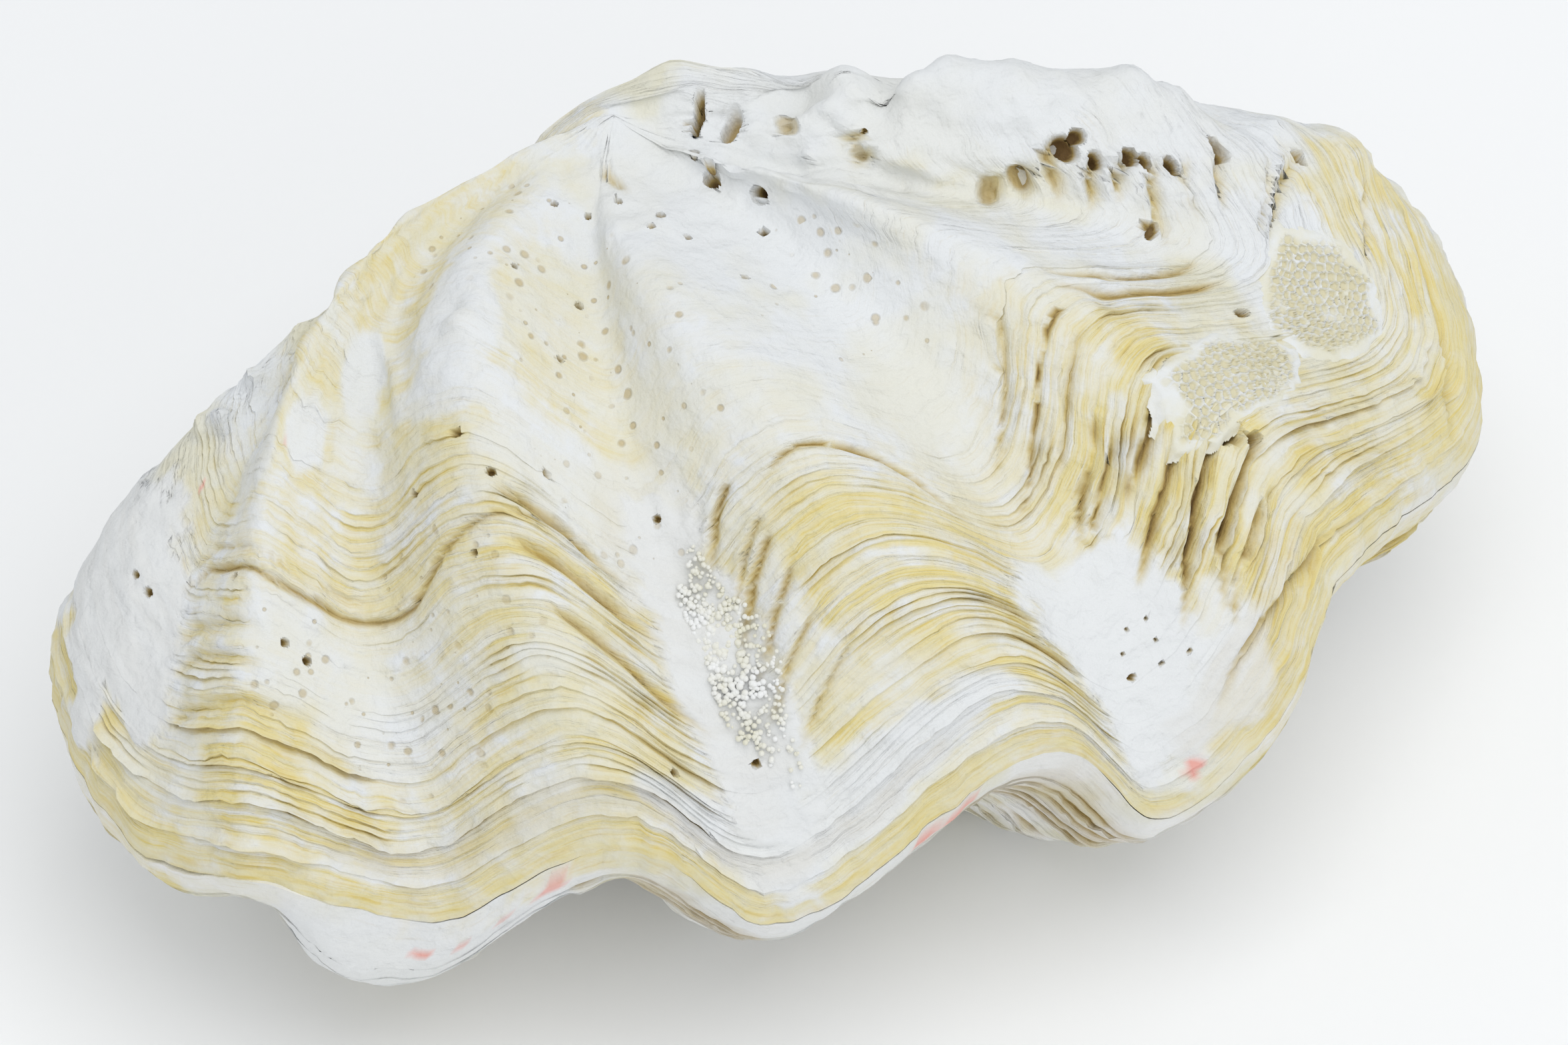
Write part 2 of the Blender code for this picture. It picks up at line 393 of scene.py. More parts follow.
@dataclass(frozen=True)
class Boring:
    """Hole bored by another animal. Sizes in mm; toward is the turn and growth it stretches to."""

    turn: float
    growth: float
    radius: float
    depth: float
    stretch: float = 1.0
    # dark is painted shade inside the hole.
    dark: float = 0.9
    toward: tuple[float, float] | None = None


@dataclass(frozen=True)
class Furrow:
    """Crack under the lip of a layer: steep on the side of the umbo, easy on the other.

    Sizes in mm. A negative depth makes a standing edge, and dark is painted shade in the groove, from 0 for
    a pale hollow to 1 for a brown shaded groove.
    """

    line: tuple[tuple[float, float], ...]
    half_width: float
    depth: float
    dark: float = 0.0
    steep: float = 0.45
    lip: float = 0.25
    straight: bool = False

    def shape(self, points: np.ndarray) -> tuple[np.ndarray, np.ndarray, np.ndarray]:
        """Height change, painted shade and yellow tint at points of the upper valve.

        Args:
            points: positions of the points in mm.

        Returns:
            The height to add in mm, the painted shade and the tint.
        """
        corners = np.array(self.line)
        ways = np.linspace(0, len(corners) - 1, 6 * (len(corners) - 1) + 1)
        index = np.arange(len(corners))
        turns = np.interp(ways, index, corners[:, 0])
        growths = np.interp(ways, index, corners[:, 1])
        path = FORM.upper(turns, growths)
        if self.straight:
            ends = FORM.upper(corners[:, 0], corners[:, 1])
            path = np.stack([np.interp(ways, index, ends[:, axis]) for axis in range(3)], axis=-1)
        reach = self.half_width * 1.6
        near = np.all((points > path.min(axis=0) - reach) & (points < path.max(axis=0) + reach), axis=-1)
        height, dark, tint = (np.zeros(points.shape[:-1]) for _ in range(3))
        spots = points[near]
        best = np.full(len(spots), FAR)
        way = np.zeros(len(spots))
        outer = np.zeros(len(spots), dtype=bool)
        edgeward = FORM.upper(turns, growths + 0.01) - FORM.upper(turns, growths)
        for number in range(len(path) - 1):
            step = path[number + 1] - path[number]
            part = np.clip((spots - path[number]) @ step / max(step @ step, 1e-9), 0, 1)
            offset = spots - path[number] - part[:, None] * step
            distance = np.linalg.norm(offset, axis=-1)
            closer = distance < best
            best = np.where(closer, distance, best)
            way = np.where(closer, number + part, way)
            outer = np.where(closer, offset @ edgeward[number] > 0, outer)
        share = 1 - best / np.where(outer, self.half_width, self.half_width * self.steep)
        share = np.clip(share, 0, 1)
        share = share * share * (3 - 2 * share)
        along = way / (len(path) - 1)
        taper = np.clip(along * 7, 0, 1) * np.clip((1 - along) * 3, 0, 1)
        raised = np.where(outer, 0, np.exp(-((best / self.half_width - 0.75) / 0.4) ** 2))
        height[near] = (-self.depth * share + self.lip * abs(self.depth) * raised) * taper
        # Painted shade, darkest at the bottom of the groove.
        dark[near] = self.dark * share ** 3 * taper
        if self.depth > 0:
            tint[near] = np.clip(self.depth / 3, 0.25, 1) * share * taper
        return height, dark, tint


@dataclass(frozen=True)
class Lump:
    """Rounded knob or hollow of the worn surface. Sizes in mm."""

    turn: float
    growth: float
    radius: float
    stand: float

    def rise(self, points: np.ndarray, surface: Surface) -> np.ndarray:
        """Height that the lump adds at points of a valve.

        Args:
            points: positions in mm.
            surface: smooth form of the valve.

        Returns:
            One height in mm for each point.
        """
        middle = surface(np.array(self.turn), np.array(self.growth))
        distance = np.linalg.norm(points - middle, axis=-1)
        return self.stand * np.exp(-((distance / self.radius) ** 2) * 1.5)


@dataclass(frozen=True)
class Nodes:
    """Short ways to add and join the nodes of one material."""

    tree: bpy.types.NodeTree

    def add(self, kind: str, inputs: Union[dict, None] = None, **settings: object) -> bpy.types.Node:
        """Adds a node.

        Args:
            kind: type of the node.
            inputs: for each input, by name or number, a socket to join or a value to set.
            settings: the node's own settings.

        Returns:
            The new node.
        """
        node = self.tree.nodes.new(kind)
        for name, value in settings.items():
            setattr(node, name, value)
        for key, value in (inputs or {}).items():
            if isinstance(value, Socket):
                self.tree.links.new(value, node.inputs[key])
            else:
                node.inputs[key].default_value = value
        return node

    def attribute(self, name: str) -> bpy.types.Node:
        """Node that reads one attribute of the mesh."""
        return self.add("ShaderNodeAttribute", attribute_name=name)

    def place(self) -> Socket:
        """Place of the point in the frame of the model."""
        return self.add("ShaderNodeTexCoord").outputs["Object"]

    def split(self, colour: Socket) -> bpy.types.Node:
        """Node that gives the three parts of a colour."""
        return self.add("ShaderNodeSeparateColor", {"Color": colour})

    def noise(self, vector: Socket, scale: float, detail: float) -> Socket:
        """Noise with a number of lumps for each metre."""
        inputs = {"Scale": scale, "Detail": detail, "Vector": vector}
        return self.add("ShaderNodeTexNoise", inputs).outputs["Fac"]

    def streaks(self, vector: Socket, stretch: tuple[float, float, float], detail: float) -> Socket:
        """Noise drawn out along the growth lines."""
        mapping = self.add("ShaderNodeMapping", {"Scale": stretch, "Vector": vector})
        return self.noise(mapping.outputs["Vector"], 1.0, detail)

    def ramp(self, value: Socket, low: float, high: float) -> Socket:
        """A value stretched from a low and a high mark to 0 and 1."""
        inputs = {"From Min": low, "From Max": high, "Value": value}
        return self.add("ShaderNodeMapRange", inputs).outputs["Result"]

    def math(self, action: str, first: Socket, second: Union[Socket, float], clamp: bool = False) -> Socket:
        """Arithmetic on two values."""
        inputs = {0: first, 1: second}
        return self.add("ShaderNodeMath", inputs, operation=action, use_clamp=clamp).outputs[0]

    def mix(self, amount: Socket, first: Union[Socket, Colour], second: Union[Socket, Colour]) -> Socket:
        """Mix of two colours, each a socket or a fixed colour.

        Args:
            amount: share of the second colour.
            first: the first colour.
            second: the second colour.

        Returns:
            The mixed colour.
        """
        inputs = {"Factor": amount}
        for number, colour in ((6, first), (7, second)):
            inputs[number] = (*colour, 1.0) if isinstance(colour, tuple) else colour
        return self.add("ShaderNodeMix", inputs, data_type="RGBA").outputs[2]

    def bump(self, height: Socket, strength: float, distance: float,
             under: Union[Socket, None] = None) -> Socket:
        """Bump on top of another bump.

        Args:
            height: height of the relief.
            strength: share of the relief that shows.
            distance: depth of the relief in metres.
            under: the bump below it, if there is one.

        Returns:
            The bent normal.
        """
        inputs = {"Strength": strength, "Distance": distance, "Height": height}
        if under is not None:
            inputs["Normal"] = under
        return self.add("ShaderNodeBump", inputs).outputs["Normal"]


def dull_material(name: str, roughness: float,
                  specular: float = DULL_SPECULAR) -> tuple[bpy.types.Material, bpy.types.Node]:
    """A new material with a dull surface.

    Args:
        name: name of the material.
        roughness: roughness of the surface.
        specular: strength of its gloss.

    Returns:
        The material and its shader.
    """
    material = bpy.data.materials.new(name)
    material.use_nodes = True
    shader = material.node_tree.nodes["Principled BSDF"]
    shader.inputs["Roughness"].default_value = roughness
    shader.inputs["Specular IOR Level"].default_value = specular
    return material, shader


@dataclass(frozen=True)
class ShellFinish:
    """Chalky shell: white and butter yellow layers, painted shade in ochre and brown in the crevices, pink
    spots, fine growth lines.
    """

    name: str
    chalk: Colour = (0.79, 0.805, 0.815)
    cream: Colour = (0.77, 0.745, 0.61)
    yellow: Colour = (0.77, 0.69, 0.385)
    deep_yellow: Colour = (0.75, 0.60, 0.20)
    # ochre colours pits and fine lines and is also the lighter painted shade in crevices; brown is the
    # deepest painted shade.
    ochre: Colour = (0.50, 0.375, 0.15)
    brown: Colour = (0.13, 0.065, 0.028)
    pink: Colour = (0.84, 0.42, 0.36)
    crust: Colour = (0.79, 0.80, 0.80)
    roughness: float = 0.8
    grain_bump: float = 0.35
    line_bump: float = 0.7
    pits_per_metre: float = 320.0
    line_stretch: tuple[float, float, float] = (30.0, 150.0, 1.0)
    fine_stretch: tuple[float, float, float] = (55.0, 520.0, 1.0)

    def material(self) -> bpy.types.Material:
        """Builds the material.

        Returns:
            A material that reads the valve's attributes, its own UV map and its place.
        """
        material, shader = dull_material(self.name, self.roughness)
        nodes = Nodes(material.node_tree)
        bands = nodes.attribute("bands")
        place = nodes.place()
        sheet_map = nodes.add("ShaderNodeUVMap", uv_map="growth_map").outputs["UV"]
        lines = nodes.streaks(sheet_map, self.line_stretch, 2.0)
        fine = nodes.streaks(sheet_map, self.fine_stretch, 2.0)
        dust = nodes.noise(place, 210.0, 6.0)
        pits = self._pits(nodes, place)
        colour = self._layers(nodes, bands, place, lines, fine, dust)
        colour = self._marks(nodes, bands, colour, pits)
        nodes.tree.links.new(colour, shader.inputs["Base Color"])
        layered = bands.outputs["Alpha"]
        low = nodes.bump(nodes.math("MULTIPLY", lines, layered), self.line_bump, 0.0006)
        mid = nodes.bump(nodes.math("MULTIPLY", fine, layered), self.line_bump, 0.00025, low)
        high = nodes.bump(nodes.noise(place, 1300.0, 4.0), self.grain_bump, 0.0002, mid)
        dusty = nodes.bump(dust, 0.8, 0.0009, high)
        sunk = nodes.bump(nodes.math("SUBTRACT", dust, pits), 0.5, 0.0008, dusty)
        chalky = nodes.bump(nodes.noise(place, 125.0, 6.0), 0.6, 0.0014, sunk)
        nodes.tree.links.new(chalky, shader.inputs["Normal"])
        return material

    def _pits(self, nodes: Nodes, place: Socket) -> Socket:
        """Small round pits of many sizes, where the shell is pitted.

        Args:
            nodes: the material's nodes.
            place: place of the point.

        Returns:
            A value of 1 in the pits and 0 beside them.
        """
        cells = nodes.add("ShaderNodeTexVoronoi", {"Scale": self.pits_per_metre, "Vector": place})
        chance = nodes.split(cells.outputs["Color"]).outputs["Red"]
        radius = nodes.math("MULTIPLY", nodes.math("POWER", chance, 2.5), 0.36)
        radius = nodes.math("ADD", radius, 0.06)
        pits = nodes.ramp(nodes.math("DIVIDE", cells.outputs["Distance"], radius), 1.0, 0.6)
        return nodes.math("MULTIPLY", pits, nodes.attribute("pitted").outputs["Fac"])

    def _layers(self, nodes: Nodes, bands: bpy.types.Node, place: Socket, lines: Socket, fine: Socket,
                dust: Socket) -> Socket:
        """White, cream and yellow of the layers, with chalk on them.

        Args:
            nodes: the material's nodes.
            bands: node that reads the layers' attribute.
            place: place of the point.
            lines: coarse growth lines.
            fine: fine growth lines.
            dust: patches of powder.

        Returns:
            The colour.
        """
        parts = nodes.split(bands.outputs["Color"])
        patches = nodes.noise(place, 48.0, 5.0)
        body = nodes.mix(nodes.ramp(patches, 0.44, 0.60), self.chalk, self.cream)
        warm = nodes.mix(nodes.ramp(fine, 0.40, 0.68), self.yellow, self.deep_yellow)
        share = nodes.math("MULTIPLY", nodes.ramp(lines, 0.34, 0.62), 0.55)
        share = nodes.math("ADD", share, 0.75)
        amount = nodes.math("MULTIPLY", parts.outputs["Red"], share)
        powder = nodes.math("MULTIPLY", nodes.ramp(dust, 0.46, 0.66), 0.3)
        amount = nodes.math("SUBTRACT", amount, powder, clamp=True)
        colour = nodes.mix(amount, body, warm)
        colour = nodes.mix(parts.outputs["Blue"], colour, self.crust)
        hair = nodes.math("MULTIPLY", nodes.ramp(fine, 0.60, 0.74), 0.22)
        return nodes.mix(nodes.math("MULTIPLY", hair, bands.outputs["Alpha"]), colour, self.ochre)

    def _marks(self, nodes: Nodes, bands: bpy.types.Node, colour: Socket, pits: Socket) -> Socket:
        """Pits, painted shade in the crevices and pink spots over the layers.

        Args:
            nodes: the material's nodes.
            bands: node that reads the layers' attribute.
            colour: colour of the layers.
            pits: value of 1 in the pits.

        Returns:
            The colour.
        """
        crevice_shade = nodes.split(bands.outputs["Color"]).outputs["Green"]
        colour = nodes.mix(nodes.math("MULTIPLY", pits, 0.62), colour, self.ochre)
        # Painted shade from the green channel of bands: ochre, then brown where it is deepest.
        colour = nodes.mix(nodes.math("MULTIPLY", crevice_shade, 2.0, clamp=True), colour, self.ochre)
        deep = nodes.math("SUBTRACT", crevice_shade, 0.5, clamp=True)
        colour = nodes.mix(nodes.math("MULTIPLY", deep, 2.0), colour, self.brown)
        return nodes.mix(nodes.attribute("pink").outputs["Fac"], colour, self.pink)


def deselect() -> None:
    """Deselects every object."""
    bpy.ops.object.select_all(action="DESELECT")


def take_up(*objects: bpy.types.Object) -> None:
    """Selects these objects alone, the first one active.

    Args:
        objects: the objects.
    """
    deselect()
    for thing in objects:
        thing.select_set(True)
    bpy.context.view_layer.objects.active = objects[0]


def sheet(name: str, turns: np.ndarray, rows: int, points: np.ndarray) -> bpy.types.Object:
    """Grid primitive laid over rows of points.

    Args:
        name: name of the new object.
        turns: turn of each column of points.
        rows: number of rows of points.
        points: positions in metres, rows by columns by three.

    Returns:
        The object, with a UV map of turn and row.
    """
    deselect()
    columns = len(turns)
    bpy.ops.mesh.primitive_grid_add(x_subdivisions=columns - 1, y_subdivisions=rows - 1, size=1.0,
                                    calc_uvs=True, location=(0, 0, 0))
    thing = bpy.context.object
    thing.name = name
    mesh = thing.data
    mesh.name = name
    mesh.uv_layers[0].name = "growth_map"
    if len(mesh.vertices) != rows * columns:
        raise ValueError(f"{name}: {len(mesh.vertices)} points for {rows} rows of {columns}")
    mesh.vertices.foreach_set("co", np.ascontiguousarray(points.reshape(-1)))
    mesh.update()
    return thing


def paint(mesh: bpy.types.Mesh, name: str, kind: str, values: np.ndarray) -> None:
    """Stores one attribute on the points of a mesh.

    Args:
        mesh: the mesh.
        name: name of the attribute.
        kind: FLOAT for one number, FLOAT_COLOR for four.
        values: one row for each point.
    """
    layer = mesh.attributes.new(name, kind, "POINT")
    key = "color" if kind == "FLOAT_COLOR" else "value"
    layer.data.foreach_set(key, np.ascontiguousarray(values.reshape(-1)))


def select_faces(thing: bpy.types.Object, chosen: np.ndarray) -> None:
    """Takes an object up in edit mode with some of its faces selected.

    Args:
        thing: the object.
        chosen: true for each face to select.
    """
    take_up(thing)
    bpy.ops.object.mode_set(mode="EDIT")
    bpy.ops.mesh.select_mode(type="FACE")
    bpy.ops.mesh.select_all(action="DESELECT")
    bpy.ops.object.mode_set(mode="OBJECT")
    thing.data.polygons.foreach_set("select", chosen)
    bpy.ops.object.mode_set(mode="EDIT")


def report(piece: bpy.types.Object) -> None:
    """Logs the name and size of a finished piece.

    Args:
        piece: the piece.
    """
    triangles = sum(len(polygon.vertices) - 2 for polygon in piece.data.polygons)
    size = ", ".join(f"{1000 * side:.1f}" for side in piece.dimensions)
    LOG.info("%s: %d triangles, %s mm", piece.name, triangles, size)


def dress(piece: bpy.types.Object, material: bpy.types.Material) -> None:
    """Gives a finished piece its material and its place on the shell, and reports it.

    Args:
        piece: the piece.
        material: its only material.
    """
    piece.data.materials.clear()
    piece.data.materials.append(material)
    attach(piece, "root")
    report(piece)


@dataclass
class Plates:
    """Growth plates of a valve: where each lip lies and how far it stands out, in mm."""

    zones: tuple[tuple[float, float, int], ...]
    main: tuple[tuple[float, float], ...]
    stand: tuple[float, float]
    seed: int
    wander: float = 0.75
    ragged: float = 0.22
    lips: np.ndarray = field(init=False)
    heights: np.ndarray = field(init=False)
    tints: np.ndarray = field(init=False)

    def __post_init__(self) -> None:
        """Spaces the lips, with the main ledges at their own places."""
        random = np.random.default_rng(self.seed)
        lips: list[float] = []
        for start, end, count in self.zones:
            steps = random.uniform(0.55, 1.45, count)
            lips += list(start + (end - start) * np.cumsum(steps) / steps.sum())
        self.lips = np.array(lips)
        early, late = self.stand
        self.heights = (early + (late - early) * smoothstep(self.lips, 0.3, 0.75))
        self.heights *= 0.35 + 2.1 * random.uniform(0.0, 1.0, len(lips)) ** 2.2
        for growth, stand in self.main:
            nearest = int(np.argmin(np.abs(self.lips[:-1] - growth)))
            self.lips[nearest] = growth
            self.heights[nearest] = stand
        self.lips.sort()
        self.tints = random.uniform(0.0, 1.0, len(lips))

    def rows(self, turns: np.ndarray) -> "PlateRows":
        """Lays three rows of points on each plate: under the last lip, on the plate, on its lip.

        Args:
            turns: turn of each column.

        Returns:
            The rows.
        """
        count = len(self.lips)
        angle = turns / len(COLUMNS) * 2 * math.pi
        ring = np.stack([np.cos(angle), np.sin(angle)], axis=-1) * 22
        number = np.arange(count)
        spots = np.concatenate(
            [np.broadcast_to(ring[None], (count, *ring.shape)),
             np.broadcast_to(number[:, None, None] * 0.35, (count, len(turns), 1))], axis=-1)
        spacing = np.diff(np.concatenate([[0.0], self.lips]))
        tied = smoothstep(1 - self.lips, 0.0, 0.05)[:, None]
        drift = Grain(self.seed).rough(spots, 2.6, 2) * self.wander
        fray = Grain(self.seed + 5).rough(spots * np.array([1, 1, 9.0]), 0.42, 2) * self.ragged
        fray *= smoothstep(self.lips, 0.2, 0.6)[:, None]
        line = self.lips[:, None] + (drift + fray) * spacing[:, None] * tied
        before = np.concatenate([np.zeros((1, len(turns))), line[:-1]])
        line = np.maximum(line, before + spacing[:, None] * 0.12)
        line[-1] = 1.0
        before = np.concatenate([np.zeros((1, len(turns))), line[:-1]])
        width = line - before
        patch = Grain(self.seed + 9).rough(spots * np.array([1, 1, 1.4]), 1.7, 2)
        stand = self.heights[:, None] * np.clip(0.75 + 0.8 * patch, 0.05, 1.8)
        above = np.concatenate([np.zeros((1, len(turns))), stand[:-1]])
        over = np.clip(above / 1.6, 0, 1)
        under = before + (0.30 - 0.36 * over) * width
        middle = before + 0.5 * width
        lip = line + 0.06 * np.clip(stand / 1.6, 0, 1) * width * tied
        growth = np.stack([under, middle, lip], axis=1).reshape(count * 3, -1)
        growth[0] = 0.0
        rise = np.stack([-0.1 - 0.3 * over, np.full_like(over, 0.4), np.ones_like(over)], axis=1)
        height = np.stack([above, stand, stand], axis=1)
        band = 0.5 + 0.5 * Grain(self.seed + 11).rough(spots * np.array([0.5, 0.5, 2.0]), 1.0, 2)
        band = np.repeat(band + 0.5 * (self.tints[:, None] - 0.5), 3, axis=0)
        return PlateRows(np.clip(growth, 0, 1), rise.reshape(count * 3, -1),
                         height.reshape(count * 3, -1), band, np.arange(count * 3) % 3)


@dataclass(frozen=True)
class PlateRows:
    """Rows of points on the growth plates.

    Rise is a share of the lip's height, height is that lip's height in mm, band is a tint that
    runs along the plates, and step is 0 under a lip, 1 on a plate and 2 on its lip.
    """

    growth: np.ndarray
    rise: np.ndarray
    height: np.ndarray
    band: np.ndarray
    step: np.ndarray


@dataclass
class Valve:
    """One valve: outside with growth plates, rim and plain inside, as one closed mesh."""

    side: Side
    plates: Plates
    finish: ShellFinish
    slot: str
    front_step: float = 1.75
    back_step: float = 4.6
    inner_rows: tuple[float, ...] = (0.0, 0.15, 0.3, 0.45, 0.6, 0.72, 0.83, 0.92, 0.97, 1.0)
    smooth_angle: float = 50.0
    inside_bands: tuple[float, float, float, float] = (0.1, 0.0, 0.5, 1.0)
    boring_cuts: int = 2
    boring_margin: float = 0.6
    boring_reach: float = 3.5
    calm: tuple[Zone, ...] = ()
    strong: tuple[Zone, ...] = ()
    worn: tuple[Zone, ...] = ()
    crusts: tuple[Zone, ...] = ()
    whites: tuple[Zone, ...] = ()
    yellows: tuple[Zone, ...] = ()
    ribbons: tuple[Zone, ...] = ()
    pitted: tuple[Zone, ...] = ()
    spots: tuple[Zone, ...] = ()
    # Zones of painted shade under the edge's arches and in hollows.
    painted_shade: tuple[Zone, ...] = ()
    lumps: tuple[Lump, ...] = ()
    furrows: tuple[Furrow, ...] = ()
    borings: tuple[Boring, ...] = ()
    rounded: tuple[Zone, ...] = ()
    seed: int = 3

    def turns(self) -> np.ndarray:
        """Turns of the mesh columns, evenly spaced along the edge, closer at the front.

        Returns:
            The turns.
        """
        fine = np.linspace(0, len(COLUMNS), 4001)
        edge = FORM.upper(fine, np.ones_like(fine))
        length = np.linalg.norm(np.diff(edge, axis=0), axis=-1)
        middle = (fine[1:] + fine[:-1]) / 2
        front = 1 - smoothstep(middle, 15.6, 16.4) * (1 - smoothstep(middle, 20.4, 21.2))
        step = self.back_step + (self.front_step - self.back_step) * front
        travelled = np.concatenate([[0], np.cumsum(length / step)])
        wanted = np.linspace(0, travelled[-1], int(round(travelled[-1])) + 1)
        return np.interp(wanted, travelled, fine)

    def relief(self, turn: np.ndarray, growth: np.ndarray, points: np.ndarray) -> np.ndarray:
        """Height of lumps, wear and crusts over the smooth form, without the plates.

        Args:
            turn: turns of the points.
            growth: growths of the points.
            points: positions in mm.

        Returns:
            One height in mm for each point.
        """
        seed = self.seed
        height = 0.5 * Grain(seed).rough(points, 16, 3)
        height += 0.22 * Grain(seed + 1).rough(points, 4.0, 3)
        surface = FORM.surface(self.side)
        for lump in self.lumps:
            height += lump.rise(points, surface)
        edge_noise = Grain(seed + 2).rough(points, 6, 3)
        crust = strongest(self.crusts, turn, growth, edge_noise)
        height += crust * (0.9 + 0.6 * Grain(seed + 3).rough(points, 3.2, 3))
        worn = strongest(self.worn, turn, growth, edge_noise)
        ridged = 1 - 2 * np.abs(Grain(seed + 8).at(points, 11))
        height += worn * (1.4 * ridged + 1.2 * Grain(seed + 9).rough(points, 7, 3))
        return height

    def fray(self, growth: np.ndarray, points: np.ndarray) -> np.ndarray:
        """Points moved so that the edge of both valves is chipped alike.

        Args:
            growth: growths of the points.
            points: positions in mm.

        Returns:
            The moved positions in mm.
        """
        share = smoothstep(growth, 0.93, 1.0)[..., None]
        flat = points * np.array([1, 1, 0.0])
        outward = unit(flat - np.array([*FORM.rim_centre, 0.0]))
        chip = 0.9 * Grain(71).rough(flat, 9, 3) + 0.7 * Grain(72).rough(flat, 3, 2)
        sag = 0.5 * Grain(73).rough(flat, 7, 3)
        return points + share * (outward * chip[..., None] + np.array([0, 0, 1.0]) * sag[..., None])

    def outside(self, turns: np.ndarray) -> tuple[np.ndarray, dict[str, np.ndarray]]:
        """Outside points in mm and the values that colour them.

        Args:
            turns: turn of each column.

        Returns:
            Points, rows by columns by three, and one array for each attribute.
        """
        surface = FORM.surface(self.side)
        rows = self.plates.rows(turns)
        growth = rows.growth
        turn = np.broadcast_to(turns, growth.shape)
        base = surface(turn, growth)
        beside = surface(turn - 0.35, growth) + surface(turn + 0.35, growth)
        blunt = 0.33 * strongest(self.rounded, turn, growth, np.zeros_like(growth))
        points = base + blunt[..., None] * (beside - 2 * base)
        normal = FORM.normals(self.side, turn, growth)
        seed = self.seed
        edge_noise = Grain(seed + 2).rough(points, 6, 3)
        crust = strongest(self.crusts, turn, growth, edge_noise)
        calm = strongest(self.calm, turn, growth, edge_noise)
        strong = strongest(self.strong, turn, growth, edge_noise)
        white = strongest(self.whites, turn, growth, edge_noise)
        chalk = smoothstep(Grain(seed + 12).rough(points, 17, 4), 0.02, 0.42)
        wear = np.clip(0.8 + 0.5 * Grain(seed + 4).rough(points, 11, 3), 0, 1.4)
        chips = 1 - 0.8 * smoothstep(Grain(seed + 6).rough(points, 3.4, 2), 0.25, 0.6)
        plain = (1 - 0.95 * crust) * (1 - 0.85 * calm) * (1 - 0.5 * chalk)
        plain = plain * smoothstep(growth, 0.12, 0.32)
        amount = wear * plain * (0.85 + 1.3 * strong) * np.where((rows.step == 2)[:, None], chips, 1.0)
        lift = rows.rise * rows.height * amount
        total = lift + self.relief(turn, growth, base)
        groove_shade = np.zeros_like(growth)
        tint = np.zeros_like(growth)
        for furrow in self.furrows:
            change, dark, glow = furrow.shape(base)
            total = total + change
            groove_shade = np.maximum(groove_shade, dark)
            tint = np.maximum(tint, glow)
        total = total * smoothstep(1 - growth, 0.0, 0.006)
        points = self.fray(growth, points + normal * total[..., None])
        if self.side is Side.LOWER:
            points[..., 2] = np.maximum(points[..., 2], -FORM.worn_flat_depth)

        white = np.maximum(white, 0.35 * chalk)
        zone = strongest(self.yellows, turn, growth, edge_noise * 0.6)
        yellow = zone * (0.45 + 0.6 * smoothstep(rows.band, 0.30, 0.66))
        yellow = yellow * (1 - 0.8 * white)
        step = np.clip(rows.height * amount / 0.9, 0, 1)
        riser = (rows.step == 0)[:, None] * step
        yellow += 0.8 * riser * (0.4 + 0.6 * zone) * (1 - 0.6 * white)
        yellow += 0.75 * tint
        ribbon = strongest(self.ribbons, turn, growth, edge_noise * 0.4)
        yellow = np.maximum(yellow, ribbon * (0.8 + 0.3 * (rows.band - 0.5)))
        white = white * (1 - ribbon)
        pitted = strongest(self.pitted, turn, growth, edge_noise)
        # These zones add painted shade under the edge's arches and in hollows, a little more at the risers;
        # the grooves add their painted shade too.
        painted_shade = strongest(self.painted_shade, turn, growth, edge_noise)
        # Painted shade: darker under the lips of tall plates.
        dark = 0.3 * riser * np.clip(rows.height * amount - 0.55, 0, 1)
        dark = dark + painted_shade * np.clip(0.3 + 0.5 * riser + 0.3 * (rows.band - 0.5), 0, 1) + groove_shade
        pink = strongest(self.spots, turn, growth, edge_noise * 0.5)
        bands = np.stack([np.clip(yellow, 0, 1), np.clip(dark, 0, 1),
                          np.clip(np.maximum(crust, white), 0, 1) * (1 - np.clip(tint + groove_shade, 0, 1)),
                          np.clip(plain, 0, 1)], axis=-1)
        return points, {"bands": bands, "pink": pink, "pitted": pitted}

    def build(self) -> bpy.types.Object:
        """Models the valve and dresses it.

        Returns:
            The finished piece.
        """
        turns = self.turns()
        points, colours = self.outside(turns)
        points[:, -1] = points[:, 0]
        outer = sheet(self.side.value, turns, len(points), FORM.to_row(points))

        surface = FORM.surface(self.side)
        turn, growth = np.meshgrid(turns, np.array(self.inner_rows))
        inside = self.fray(growth, surface(turn, growth, FORM.wall, FORM.rim_width))
        inside[:, -1] = inside[:, 0]
        inner = sheet(self.side.value + "_inside", turns, len(self.inner_rows), FORM.to_row(inside))
        plain = {"bands": np.tile(self.inside_bands, (growth.size, 1)),
                 "pink": np.zeros(growth.size), "pitted": np.zeros(growth.size)}
        for name, kind in ATTRIBUTES.items():
            paint(outer.data, name, kind, colours[name])
            paint(inner.data, name, kind, plain[name])

        for part in (outer, inner):
            take_up(part)
            bpy.ops.object.mode_set(mode="EDIT")
            bpy.ops.mesh.select_all(action="SELECT")
            bpy.ops.mesh.remove_doubles(threshold=MERGE_DISTANCE)
            bpy.ops.object.mode_set(mode="OBJECT")
        take_up(outer, inner)
        bpy.ops.object.join()
        bpy.ops.object.mode_set(mode="EDIT")
        bpy.ops.mesh.select_mode(type="EDGE")
        bpy.ops.mesh.select_all(action="DESELECT")
        bpy.ops.mesh.select_non_manifold()
        bpy.ops.mesh.bridge_edge_loops()
        bpy.ops.mesh.select_all(action="SELECT")
        bpy.ops.mesh.normals_make_consistent(inside=False)
        bpy.ops.mesh.select_mode(type="VERT")
        bpy.ops.object.mode_set(mode="OBJECT")
        self.bore(outer)
        take_up(outer)
        bpy.ops.object.shade_smooth_by_angle(angle=math.radians(self.smooth_angle))
        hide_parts(self.side.value)
        dress(outer, self.finish.material())
        return outer

